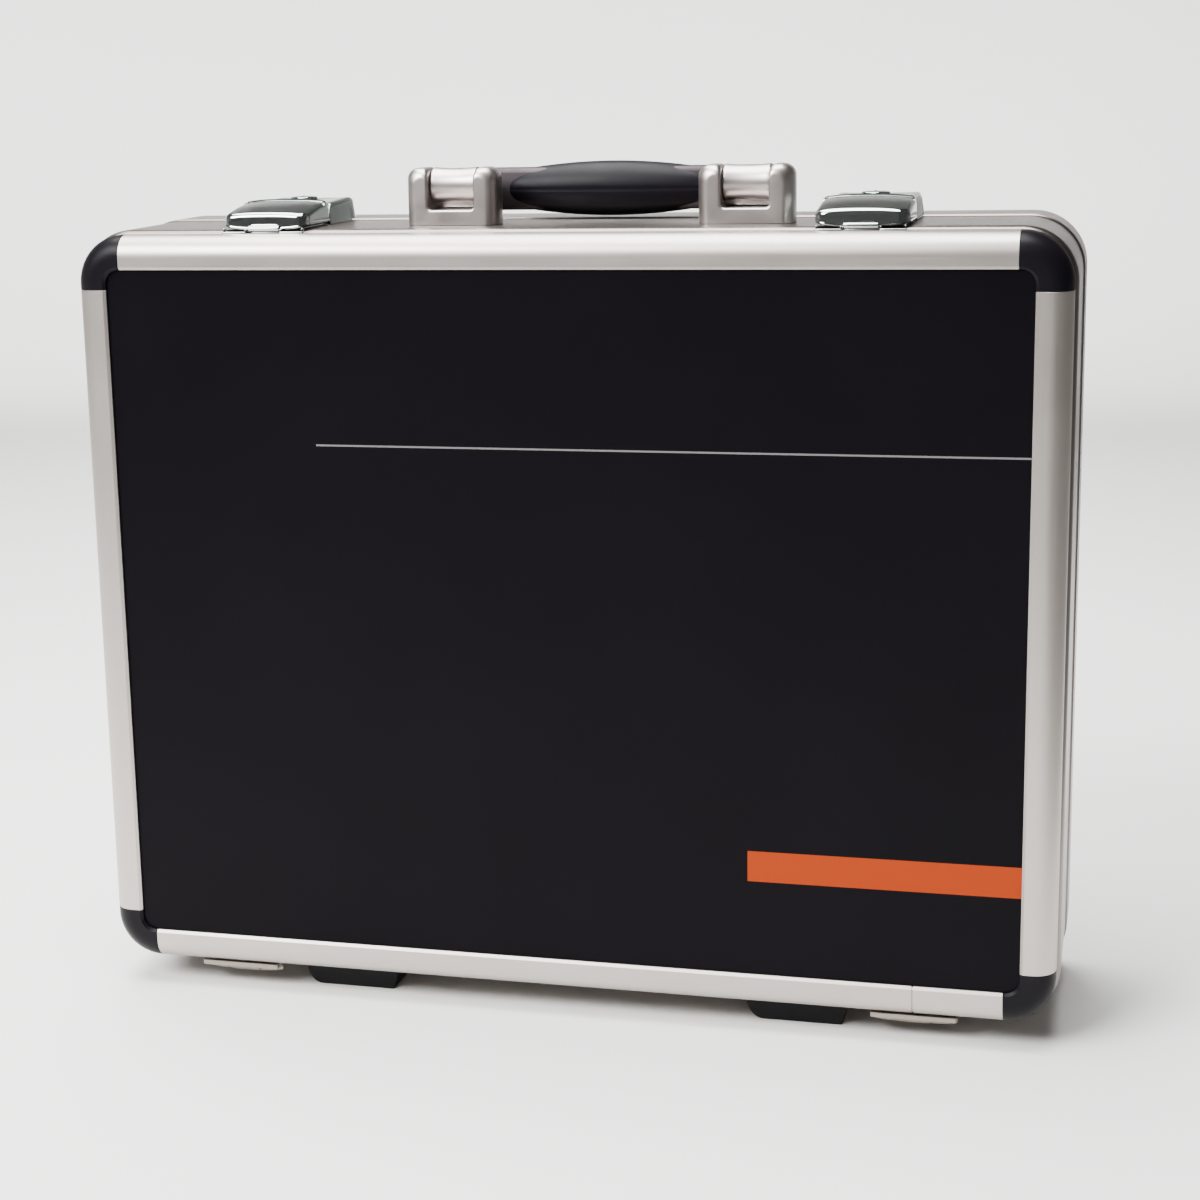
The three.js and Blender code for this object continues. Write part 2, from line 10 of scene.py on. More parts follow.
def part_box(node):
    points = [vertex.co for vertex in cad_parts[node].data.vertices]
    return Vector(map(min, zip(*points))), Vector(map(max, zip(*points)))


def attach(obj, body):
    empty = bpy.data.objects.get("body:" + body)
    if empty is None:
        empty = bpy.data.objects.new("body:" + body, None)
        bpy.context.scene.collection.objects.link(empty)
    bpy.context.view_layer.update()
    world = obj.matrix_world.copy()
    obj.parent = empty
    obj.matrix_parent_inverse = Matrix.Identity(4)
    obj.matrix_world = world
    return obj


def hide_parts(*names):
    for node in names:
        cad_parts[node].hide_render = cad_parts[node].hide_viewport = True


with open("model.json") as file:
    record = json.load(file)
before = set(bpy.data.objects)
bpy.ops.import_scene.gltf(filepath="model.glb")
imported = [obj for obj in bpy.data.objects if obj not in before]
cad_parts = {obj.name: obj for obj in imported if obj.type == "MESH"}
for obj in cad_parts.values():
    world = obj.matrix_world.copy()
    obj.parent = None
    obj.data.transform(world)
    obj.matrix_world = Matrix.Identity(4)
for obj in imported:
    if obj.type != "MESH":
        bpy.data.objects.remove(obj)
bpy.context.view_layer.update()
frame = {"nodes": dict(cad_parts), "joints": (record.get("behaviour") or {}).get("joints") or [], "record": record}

bl_info = {
    "name": "Microphone case",
    "version": (1, 0, 0),
    "blender": (4, 5, 0),
    "location": "View3D > Sidebar > Case",
    "description": "Builds a framed microphone case with its latches, handle, hinges and foam",
    "category": "Add Mesh",
}

MM = 0.001
SIDES = (("left", -1), ("right", 1))
JOINTS = {joint["name"]: np.array(joint["pos_m"]) / MM for joint in frame["joints"]}


def node_box(name):
    """Lowest and highest corner of a CAD node in millimetres."""
    low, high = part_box(name)
    return np.array([low, high]) / MM


FRONT_Y = node_box("lid_rail_left")[0][1]
BAND_TOP = node_box("base_band")[1][2]
MIDDLE_Z = node_box("lid_panel").mean(0)[2]


# Sizes and colours that a user would change

def linear(code):
    """A hex sRGB colour as linear RGBA: over 0.04045 each channel is ((c + 0.055) / 1.055)
    ** 2.4."""
    channels = [int(code[i:i + 2], 16) / 255 for i in (1, 3, 5)]
    return [c / 12.92 if c <= 0.04045 else ((c + 0.055) / 1.055) ** 2.4 for c in channels] + [1]


def length(name, description, millimetres):
    return bpy.props.FloatProperty(
        name=name, description=description, default=millimetres * MM, unit="LENGTH", precision=5)


def colour(name, description, code):
    return bpy.props.FloatVectorProperty(
        name=name, description=description, default=linear(code), subtype="COLOR", size=4, min=0,
        max=1)


class InMillimetres:
    """Reads the lengths of a property group in millimetres."""

    def __init__(self, group):
        self.group = group

    def __getattr__(self, name):
        return getattr(self.group, name) / MM


class CaseShellSizes(bpy.types.PropertyGroup):
    width: length("Width", "Width across the lid's frame", 440.4)
    height: length("Height", "Height of the lid's frame", 343.4)
    depth: length("Depth", "From the lid's face to the back", 120)
    lid_depth: length("Lid depth", "Depth of the lid's frame", 14.4)
    corner: length("Corner radius", "Radius of the frame's corners seen from the front", 21.5)
    face: length("Frame face", "How far the frame reaches in over the panel", 15.2)
    wall: length("Wall", "Thickness of the aluminium", 2)
    lid_round: length("Lid edge radius", "Radius of the lid's outer edge", 10)
    rear_round: length("Rear edge radius", "Radius of the rear frame's outer edge", 13)
    chamfer: length("Inner chamfer", "Bright chamfer along the panel's edge", 1.2)
    corner_leg: length("Corner leg", "How far a corner piece reaches along the top or bottom", 22)
    corner_rise: length("Corner rise", "How far a corner piece reaches along an upright", 24.2)
    joint_gap: length("Joint gap", "Gap between a corner piece and its rails", 0.15)
    seam: length("Seam width", "Hairline seam in the bottom rail", 0.4)
    band_step: length("Band step", "How far the base stands proud of the lid", 1.5)
    band_end: length("Band end", "Depth at which the bent band ends", 76)
    band_drop: length("Band drop", "How far the band's front edge rounds down", 1.9)
    band_roll: length("Band roll", "Depth over which the band's front edge rounds down", 4)
    rear_step: length("Rear step", "How far the rear frame stands proud of the band", 0.8)
    parting: length("Parting gap", "Gap between the lid and the base", 0.3)


class CaseFoamSizes(bpy.types.PropertyGroup):
    edge: length("Edge radius", "Softness of the foam's outer edges", 3)
    lip: length("Pocket lip", "Softness of the rim of a pocket", 2.5)
    pocket_round: length("Pocket corner", "Radius of a pocket's corners", 12)


class CaseLatchSizes(bpy.types.PropertyGroup):
    width: length("Width", "Width of a latch", 40)
    wall: length("Wall", "Thickness of the lever's sheet", 1.0)
    front: length("Front", "Depth at which the lever's skirt stands", 14.2)
    front_height: length("Front height", "Height of the lever's front edge", 7.3)
    corner: length("Corner radius", "Radius of the lever's front corners seen from above", 5)
    roll: length("Roll", "Radius over which the lever's sheet bends down", 2.1)
    crown: length("Crown", "How far the lever's top falls towards its sides", 1.3)
    curl: length("Curl", "Radius of the lever's curl over its pin", 5)
    skirt: length("Skirt", "Height of the skirt's edge at the middle", 0.35)
    arch: length("Arch", "How far the skirt's edge rises towards its ends", 1.5)
    eye: length("Eye radius", "Radius of the lever's eye about its pin", 4)
    pin: length("Pin radius", "Radius of the pin", 1.5)
    lug: length("Lug place", "Where the plate's lugs stand off the middle", 12)
    lug_width: length("Lug width", "Width of a lug", 4)
    hook: length("Hook width", "Width of the hook about its pin", 13)
    tip: length("Tip width", "Width of the hook's turned-down tip", 14.8)
    tip_top: length("Tip top", "Height of the top of the hook's tip", 1.8)
    housing_end: length("Housing end", "Depth at which the housing ends", 88)
    housing_height: length("Housing height", "Height of the housing", 11)
    dish: length("Dish", "How far the housing's top sinks round its lock", 0.5)
    lock_radius: length("Lock radius", "Radius of the key lock", 6.3)
    lock_height: length("Lock height", "Height of the lock's top", 12.3)


class CaseHandleSizes(bpy.types.PropertyGroup):
    spacing: length("Spacing", "Between the middles of the brackets", 132)
    bracket_width: length("Bracket width", "Width of a bracket", 42)
    bracket_depth: length("Bracket depth", "Depth of a bracket", 20.5)
    bracket_height: length("Bracket height", "Height of a bracket", 25.3)
    plan_front: length("Front radius", "Radius of a bracket's upright front edges", 7)
    plan_rear: length("Rear radius", "Radius of a bracket's upright rear edges", 10)
    top_round: length("Top radius", "Radius of a bracket's top edges", 5)
    notch: length("Notch", "Width of the opening between the ears", 21.4)
    notch_floor: length("Notch floor", "Height of the notch's floor", 6.9)
    notch_rim: length("Notch rim", "Radius of the notch's bright rim", 1.0)
    barrel: length("Barrel radius", "Radius of the barrel's ends", 8.0)
    waist: length("Barrel waist", "Radius of the barrel's middle", 7.4)
    bar_gap: length("Bar gap", "From the axis back to the bar", 18)
    bar_depth: length("Bar depth", "Depth of the cross bar", 12)
    bar_bottom: length("Bar bottom", "Height of the bar's underside", 4.8)
    bar_top: length("Bar top", "Height of the bar's top", 23.8)
    grip_length: length("Grip half length", "From the grip's middle to its nose", 50)
    grip_depth: length("Grip half depth", "Half the depth of the grip", 11.5)
    grip_height: length("Grip half height", "Half the height of the grip", 12.2)
    grip_middle: length("Grip middle", "Height of the grip's middle", 14.2)


class CaseColours(bpy.types.PropertyGroup):
    aluminium: colour("Aluminium", "Anodised frame", "#BDB5AF")
    # Partly a darker anodising and partly painted shade: the band is painted darker than the frame.
    band: colour("Band", "Anodised band and rear frame", "#807874")
    laminate: colour("Laminate", "Panels", "#09070B")
    corner: colour("Corners", "Moulded corner pieces", "#0B090D")
    chrome: colour("Chrome", "Latches", "#B2B8B7")
    nickel: colour("Nickel", "Brackets and hinges", "#BEB6B3")
    # Partly duller zinc plating and partly painted shade: darker, as the hinges sit in shade.
    hinge: colour("Hinges", "Plated steel of the hinges", "#9C938A")
    steel: colour("Steel", "Bar of the handle", "#4C4649")
    grip: colour("Grip", "Moulded grip", "#0D0B10")
    rubber: colour("Rubber", "Feet", "#0B0A0C")
    foam: colour("Foam", "Inserts", "#1C1B1E")
    stripe: colour("Stripe", "Plain printed stripe", "#93330F")
    rule: colour("Rule", "Plain printed rule", "#6A6667")
    floor: colour("Floor", "Studio floor", "#F4F3F1")


# Outlines and skins

def arc(centre, radius, start, end, steps):
    """Points on a circle: the centre plus the radius times the cosine and sine of an angle that
    runs evenly from start to end, in degrees."""
    angle = np.radians(np.linspace(start, end, steps + 1))
    return np.stack([centre[0] + radius * np.cos(angle), centre[1] + radius * np.sin(angle)], 1)


def joined(*runs):
    """One closed outline from runs of points, without each that repeats the one before it."""
    points = np.vstack([np.atleast_2d(run) for run in runs]).astype(float)
    kept = np.linalg.norm(points - np.roll(points, 1, 0), axis=1) > 1e-6
    return points[kept]


def rounded_rectangle(half_width, half_height, radius, steps=12, centre=(0, 0)):
    """Four quarter circles about the corners of a rectangle, joined by its straight sides."""
    x, y = half_width - radius, half_height - radius
    quarters = [arc((sx * x, sy * y), radius, turn, turn + 90, steps)
                for sx, sy, turn in ((1, 1, 0), (-1, 1, 90), (-1, -1, 180), (1, -1, 270))]
    return joined(*quarters) + np.array(centre)


def inset(outline, amount):
    """Each point of a closed outline, which runs anticlockwise, moved inward along the mitre of
    its two edges: the sum of their normals over one plus their product, times the amount."""
    ahead = np.roll(outline, -1, 0) - outline
    ahead = ahead / np.linalg.norm(ahead, axis=1, keepdims=True)
    normal = np.stack([-ahead[:, 1], ahead[:, 0]], 1)
    before = np.roll(normal, 1, 0)
    mitre = (normal + before) / (1 + (normal * before).sum(1, keepdims=True))
    return outline + amount * mitre


def anticlockwise(outline):
    """The outline turned round if the sum of its cross products says that it runs clockwise."""
    after = np.roll(outline, -1, 0)
    area = (outline[:, 0] * after[:, 1] - after[:, 0] * outline[:, 1]).sum()
    return outline if area > 0 else outline[::-1]


def quarter_turn(steps):
    """Even angles from nought to a right angle, in radians."""
    return np.radians(np.linspace(0, 90, steps + 1))


def full_turn(steps):
    """Even angles once round a circle, in radians, without the last one."""
    return np.linspace(0, 2 * np.pi, steps, endpoint=False)


def girth(outline):
    """How far round a closed outline each of its points lies, counted from its last point."""
    return np.linalg.norm(outline - np.roll(outline, 1, 0), axis=1).cumsum()


def stations(low, high, edge, steps=4):
    """Places along a prism and the inset at each: a quarter circle of the edge radius at both
    ends, so place is the end plus r (1 - cos t) and inset is r (1 - sin t)."""
    turn = quarter_turn(steps)
    inward, along = edge * (1 - np.sin(turn)), edge * (1 - np.cos(turn))
    place = np.concatenate([low + along, (high - along)[::-1]])
    return place, np.concatenate([inward, inward[::-1]])


ORDER = {"x": (2, 0, 1), "y": (0, 2, 1), "z": (0, 1, 2)}


def stacked(outline, axis, places, inwards):
    """An outline at each place along an axis, inset there by its own amount. The outline holds
    (y, z), (x, z) or (x, y), and the axis is what is left."""
    rings = [np.column_stack([inset(outline, inward), np.full(len(outline), place)])
             for place, inward in zip(places, inwards)]
    return np.stack(rings)[..., ORDER[axis]]


def prism(outline, axis, low, high, edge=0.3, steps=4):
    """An outline carried along an axis, inset at its ends on a quarter circle."""
    return skin(stacked(anticlockwise(outline), axis, *stations(low, high, edge, steps)))


def skin(rings, loop=False, capped=True):
    """Quads between neighbouring rings of a grid of points, each ring closed on itself. The end
    rings get a flat cap, or the last ring meets the first in a loop."""
    count, size = rings.shape[:2]
    index = np.arange(count * size).reshape(count, size)
    rows = np.vstack([index, index[:1]]) if loop else index
    near, far = rows[:-1], rows[1:]
    quads = np.stack([near, np.roll(near, -1, 1), np.roll(far, -1, 1), far], -1).reshape(-1, 4)
    faces = quads.tolist()
    if capped and not loop:
        faces += [index[0].tolist(), index[-1][::-1].tolist()]
    return rings.reshape(-1, 3), faces


def lathe_x(profile, centre, steps=48, loop=False):
    """Rings about an axis along X: at each (x, radius) the centre plus the radius times the cosine
    and sine of an even turn."""
    turn = full_turn(steps)
    profile = np.array(profile, float)
    rings = np.stack([np.broadcast_to(profile[:, :1], (len(profile), steps)),
                      profile[:, 1:] * np.cos(turn), profile[:, 1:] * np.sin(turn)], -1)
    return skin(rings + np.array(centre), loop)


def rod_x(centre, radius, length, edge=0.3, steps=48):
    """A cylinder along X with its two edges rounded on a quarter circle."""
    place, inward = stations(-length / 2, length / 2, edge)
    return lathe_x(np.column_stack([place, radius - inward]), centre, steps)


def holed(outer, holes, flip=False):
    """A flat face with holes: the triangles of an outer ring of points less the rings in it."""
    loops = [[tuple(p) for p in ring] for ring in [outer, *holes]]
    faces = [tuple(t) for t in tessellate_polygon(loops)]
    points = np.vstack([outer, *holes])
    return points, [f[::-1] for f in faces] if flip else faces


def keep_rim_sharp(mesh):
    """Marks every edge that has one face only, so that a wall's rim doesn't bend the shading."""
    used = np.empty(len(mesh.loops), int)
    mesh.loops.foreach_get("edge_index", used)
    layer = (mesh.attributes.get("sharp_edge")
             or mesh.attributes.new("sharp_edge", "BOOLEAN", "EDGE"))
    marks = np.empty(len(mesh.edges), bool)
    layer.data.foreach_get("value", marks)
    marks |= np.bincount(used, minlength=len(mesh.edges)) == 1
    layer.data.foreach_set("value", marks)


def turn_outward(work):
    """Turns an open shell's faces over when most of their area looks towards its middle."""
    areas = np.array([face.calc_area() for face in work.faces])
    centres = np.array([face.calc_center_median() for face in work.faces])
    normals = np.array([face.normal for face in work.faces])
    middle = (areas[:, None] * centres).sum(0) / areas.sum()
    if (areas * ((centres - middle) * normals).sum(1)).sum() < 0:
        bmesh.ops.reverse_faces(work, faces=work.faces)


def finish_piece(name, parts, body, finish, nodes=(), sharp=32, along=None, wall=0):
    """Joins skins, given in millimetres, into one mesh piece in metres, with its faces turned
    outward, smooth but for edges sharper than an angle, and rides it on its body. An open shell
    gets a wall, which grows inward by its thickness."""
    points, faces, start = [], [], 0
    for part_points, part_faces in parts:
        points.append(part_points)
        faces += [[start + i for i in face] for face in part_faces]
        start += len(part_points)
    mesh = bpy.data.meshes.new(name)
    mesh.from_pydata((np.vstack(points) * MM).tolist(), [], faces)
    if along is not None:
        layer = mesh.attributes.new("along", "FLOAT_VECTOR", "POINT")
        layer.data.foreach_set("vector", (np.asarray(along, float) * MM).ravel())
    work = bmesh.new()
    work.from_mesh(mesh)
    bmesh.ops.remove_doubles(work, verts=work.verts, dist=1e-7)
    bmesh.ops.recalc_face_normals(work, faces=work.faces)
    if wall:
        turn_outward(work)
    work.to_mesh(mesh)
    work.free()
    mesh.shade_smooth()
    mesh.set_sharp_from_angle(angle=np.radians(sharp))
    if wall:
        keep_rim_sharp(mesh)
    mesh.materials.append(finishes()[finish])
    piece = bpy.data.objects.new(name, mesh)
    bpy.context.scene.collection.objects.link(piece)
    if wall:
        shell = piece.modifiers.new("Wall", "SOLIDIFY")
        shell.thickness, shell.offset = wall * MM, -1
    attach(piece, body)
    if nodes:
        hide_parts(*nodes)
    return piece


# Materials

NOISE_SPAN = {"From Min": 0.3, "From Max": 0.7}     # nearly all of a noise lies between these

# The printed areas on the lid's face, across and up, in millimetres. Both run on under its rail.
STRIPE_AREA = (86, 230), (71, 85)
RULE_AREA = (-108, 230), (262.3, 263.1)


def add(tree, kind, inputs=None, **settings):
    """Adds a node with its settings, and sets each input to a value or links it to an output."""
    made = tree.nodes.new(kind)
    for key, value in settings.items():
        setattr(made, key, value)
    for key, value in (inputs or {}).items():
        if isinstance(value, bpy.types.NodeSocket):
            tree.links.new(value, made.inputs[key])
        else:
            made.inputs[key].default_value = value
    return made


def new_material(name, **surface):
    """A material whose Principled shader has the given constant inputs, with its node tree and
    the output that tells the place on the object."""
    material = bpy.data.materials.new(name)
    material.use_nodes = True
    tree = material.node_tree
    for key, value in surface.items():
        tree.nodes["Principled BSDF"].inputs[key.replace("_", " ")].default_value = value
    return material, tree, add(tree, "ShaderNodeTexCoord").outputs["Object"]


def driven(material, **outputs):
    """The material once its shader's named inputs are linked to these outputs."""
    tree = material.node_tree
    for key, output in outputs.items():
        tree.links.new(output, tree.nodes["Principled BSDF"].inputs[key.replace("_", " ")])
    return material


def shaded(paint, share=1.0):
    """A colour made darker or lighter by a share."""
    return [channel * share for channel in paint[:3]] + [1]


def anodised_aluminium(name, paint, rough):
    """Extruded aluminium, satin anodised: drawing lines run along each bar, and the etched skin
    spreads every highlight into a soft band. A line runs on for about 90 mm, and the lines are
    drawn 0.5 mm apart so that they show."""
    material, tree, where = new_material(name, Metallic=1.0)
    along = add(tree, "ShaderNodeAttribute", attribute_name="along").outputs["Vector"]
    run, apart = 1 / (90 * MM), 1 / (0.5 * MM)
    drawn = add(tree, "ShaderNodeVectorMath", {0: along, 1: (run, apart, run)},
                operation="MULTIPLY").outputs[0]
    lines = add(tree, "ShaderNodeTexNoise", {
        "Vector": drawn, "Scale": 1.0, "Detail": 3.0}).outputs["Fac"]
    cloud = add(tree, "ShaderNodeTexNoise", {
        "Vector": where, "Scale": 1 / (45 * MM)}).outputs["Fac"]
    tone = add(tree, "ShaderNodeMix", {0: lines, 6: shaded(paint, 0.88), 7: shaded(paint)},
               data_type="RGBA")
    streak = add(tree, "ShaderNodeMapRange", {
        **NOISE_SPAN, "Value": lines, "To Min": rough - 0.03, "To Max": rough + 0.03})
    worn = add(tree, "ShaderNodeMapRange", {
        **NOISE_SPAN, "Value": cloud, "To Min": -0.02, "To Max": 0.03})
    gloss = add(tree, "ShaderNodeMath", {0: streak.outputs[0], 1: worn.outputs[0]},
                operation="ADD")
    return driven(material, Base_Color=tone.outputs[2], Roughness=gloss.outputs[0])


def panel_laminate(colours):
    """High-pressure laminate on plywood, pressed with a fine satin grain that takes most of its
    shine; a plain stripe and a hair rule are screen printed on the lid in matt ink."""
    material, tree, where = new_material("panel_laminate", Specular_IOR_Level=0.05)
    grain = add(tree, "ShaderNodeTexNoise", {
        "Vector": where, "Scale": 1 / (0.9 * MM), "Detail": 4.0}).outputs["Fac"]
    cloud = add(tree, "ShaderNodeTexNoise", {
        "Vector": where, "Scale": 1 / (70 * MM), "Detail": 3.0}).outputs["Fac"]
    paint = colours.laminate
    shade = add(tree, "ShaderNodeMix", {0: cloud, 6: shaded(paint, 0.7), 7: shaded(paint, 1.3)},
                data_type="RGBA").outputs[2]
    axes = add(tree, "ShaderNodeSeparateXYZ", {0: where}).outputs
    for ink, area in ((colours.stripe, STRIPE_AREA), (colours.rule, RULE_AREA)):
        mask = printed_area(tree, axes, *area)
        shade = add(tree, "ShaderNodeMix", {0: mask, 6: shade, 7: shaded(ink)},
                    data_type="RGBA").outputs[2]
    satin = add(tree, "ShaderNodeMapRange", {
        **NOISE_SPAN, "Value": grain, "To Min": 0.36, "To Max": 0.48})
    bump = add(tree, "ShaderNodeBump", {
        "Height": grain, "Distance": 0.03 * MM, "Strength": 0.35})
    return driven(material, Base_Color=shade, Roughness=satin.outputs[0], Normal=bump.outputs[0])


def printed_area(tree, axes, across, up):
    """One inside a rectangle on the lid's face, in millimetres, and nought outside it."""
    mask = 1.0
    for axis, limit, test in (
            ("X", across[0], "GREATER_THAN"), ("X", across[1], "LESS_THAN"),
            ("Z", up[0], "GREATER_THAN"), ("Z", up[1], "LESS_THAN"), ("Y", 0, "LESS_THAN")):
        passed = add(tree, "ShaderNodeMath", {0: axes[axis], 1: limit * MM},
                     operation=test).outputs[0]
        mask = add(tree, "ShaderNodeMath", {0: passed, 1: mask}, operation="MULTIPLY").outputs[0]
    return mask


def moulded_plastic(name, paint, rough, shine, grain_size, grain_depth):
    """Injection-moulded nylon or ABS with an etched, eggshell skin; handling polishes it in
    patches about a thumb wide."""
    material, tree, where = new_material(name, Specular_IOR_Level=shine)
    grain = add(tree, "ShaderNodeTexNoise", {
        "Vector": where, "Scale": 1 / (grain_size * MM), "Detail": 2.0}).outputs["Fac"]
    rubbed = add(tree, "ShaderNodeTexNoise", {
        "Vector": where, "Scale": 1 / (14 * MM), "Detail": 2.0}).outputs["Fac"]
    tone = add(tree, "ShaderNodeMix", {0: rubbed, 6: shaded(paint), 7: shaded(paint, 1.35)},
               data_type="RGBA")
    gloss = add(tree, "ShaderNodeMapRange", {
        **NOISE_SPAN, "Value": rubbed, "To Min": rough + 0.05, "To Max": rough - 0.05})
    bump = add(tree, "ShaderNodeBump", {
        "Height": grain, "Distance": grain_depth * MM, "Strength": 0.4})
    return driven(material, Base_Color=tone.outputs[2], Roughness=gloss.outputs[0],
                  Normal=bump.outputs[0])


def plated_metal(name, paint, rough, smear_size):
    """Plated steel or die-cast zinc: chrome is a mirror, satin nickel is blasted before it is
    plated. Wiped smears vary the gloss a little."""
    material, tree, where = new_material(name, Metallic=1.0)
    smear = add(tree, "ShaderNodeTexNoise", {
        "Vector": where, "Scale": 1 / (smear_size * MM), "Detail": 2.0}).outputs["Fac"]
    tone = add(tree, "ShaderNodeMix", {0: smear, 6: shaded(paint, 0.93), 7: shaded(paint)},
               data_type="RGBA")
    gloss = add(tree, "ShaderNodeMapRange", {
        **NOISE_SPAN, "Value": smear, "To Min": rough * 0.9, "To Max": rough * 1.12})
    return driven(material, Base_Color=tone.outputs[2], Roughness=gloss.outputs[0])


def foot_rubber(colours):
    """Moulded rubber: matt, slightly dusty, with a faint orange peel about 0.8 mm across."""
    material, tree, where = new_material("moulded_rubber", Specular_IOR_Level=0.2)
    dust = add(tree, "ShaderNodeTexNoise", {
        "Vector": where, "Scale": 1 / (5 * MM), "Detail": 5.0}).outputs["Fac"]
    peel = add(tree, "ShaderNodeTexNoise", {
        "Vector": where, "Scale": 1 / (0.8 * MM)}).outputs["Fac"]
    paint = colours.rubber
    tone = add(tree, "ShaderNodeMix", {0: dust, 6: shaded(paint), 7: shaded(paint, 1.5)},
               data_type="RGBA")
    matt = add(tree, "ShaderNodeMapRange", {
        **NOISE_SPAN, "Value": dust, "To Min": 0.6, "To Max": 0.75})
    bump = add(tree, "ShaderNodeBump", {
        "Height": peel, "Distance": 0.04 * MM, "Strength": 0.5})
    return driven(material, Base_Color=tone.outputs[2], Roughness=matt.outputs[0],
                  Normal=bump.outputs[0])


def open_cell_foam(colours):
    """Polyurethane foam: open cells under a millimetre across, drawn at 1.3 mm so that they show.
    It takes no highlight; the shade in its pores is painted, darker where the bump sinks."""
    material, tree, where = new_material("open_cell_foam", Roughness=0.95, Sheen_Weight=0.25)
    cells = add(tree, "ShaderNodeTexVoronoi", {
        "Vector": where, "Scale": 1 / (1.3 * MM)}).outputs["Distance"]
    # Painted shade: the colour darkens to a third where the bump sinks, as shade in the pores.
    pore_shade = add(tree, "ShaderNodeMapRange", {"Value": cells, "From Min": 0.1, "From Max": 0.75})
    paint = colours.foam
    tone = add(tree, "ShaderNodeMix", {
        0: pore_shade.outputs[0], 6: shaded(paint), 7: shaded(paint, 0.35)}, data_type="RGBA")
    bump = add(tree, "ShaderNodeBump", {
        "Height": cells, "Distance": 0.35 * MM, "Strength": 0.7}, invert=True)
    return driven(material, Base_Color=tone.outputs[2], Normal=bump.outputs[0])


FINISHES = {}


def finishes():
    """The object's materials by name, made when first asked for. The plastics' last numbers are
    the size and depth of their grain, and the metals' last is the width of a smear, in
    millimetres."""
    if not FINISHES:
        colours = bpy.context.scene.case_colours
        FINISHES.update(
            aluminium=anodised_aluminium("anodised_extrusion", colours.aluminium, 0.4),
            # The band's darker paint is partly its own anodising and partly painted shade.
            band=anodised_aluminium("anodised_strip_with_painted_shade", colours.band, 0.31),
            laminate=panel_laminate(colours),
            corner=moulded_plastic("moulded_nylon", colours.corner, 0.4, 0.1, 0.5, 0.03),
            grip=moulded_plastic("moulded_abs", colours.grip, 0.45, 0.12, 0.7, 0.02),
            chrome=plated_metal("chrome_plate", colours.chrome, 0.06, 12),
            nickel=plated_metal("satin_nickel", colours.nickel, 0.36, 15),
            # The hinges' darker paint is partly their zinc plating and partly painted shade.
            hinge=plated_metal("zinc_plated_steel_with_painted_shade", colours.hinge, 0.5, 9),
            steel=plated_metal("burnished_steel", colours.steel, 0.58, 12),
            rubber=foot_rubber(colours),
            foam=open_cell_foam(colours),
        )
    return FINISHES


# Lid and base

ROWS = (("bottom", -1), ("top", 1))
BAR_EDGE = 0.15         # bevel of a bar's or a corner piece's cut end
SEAM_DEPTH = 0.5        # how far a seam sinks into a bar
SHEET_EDGE = 0.3        # bevel of a sheet's free edge


def depth_y(depth):
    return FRONT_Y + depth


def frame_section(size, radius, end):
    """The bar's section as (inward, depth): up the outer wall, round the outer edge on a quarter
    circle, across the face to a small chamfer, and back inside at the wall's thickness."""
    face, wall, cut = size.face, size.wall, size.chamfer
    return joined(
        (SHEET_EDGE, end), (0, end - SHEET_EDGE), arc((radius, radius), radius, 180, 270, 14),
        (face - cut, 0), (face, cut * 0.9), (face, wall),
        arc((radius, radius), radius - wall, 270, 180, 10), (wall, end))


def along_prism(outline, axis, low, high, cuts=(), seam=0.0):
    """A prism whose points also carry their place along it and round it. At a cut the outline is
    drawn in by a hair, which leaves a seam."""
    outline = anticlockwise(outline)
    places, inwards = [low, low + BAR_EDGE], [BAR_EDGE, 0.0]
    for cut in cuts:
        places += [cut - seam, cut - seam / 2, cut + seam / 2, cut + seam]
        inwards += [0.0, SEAM_DEPTH, SEAM_DEPTH, 0.0]
    places, inwards = places + [high - BAR_EDGE, high], inwards + [0.0, BAR_EDGE]
    along = np.stack([np.repeat(places, len(outline)), np.tile(girth(outline), len(places)),
                      np.zeros(len(places) * len(outline))], 1)
    return skin(stacked(outline, axis, places, inwards)), along


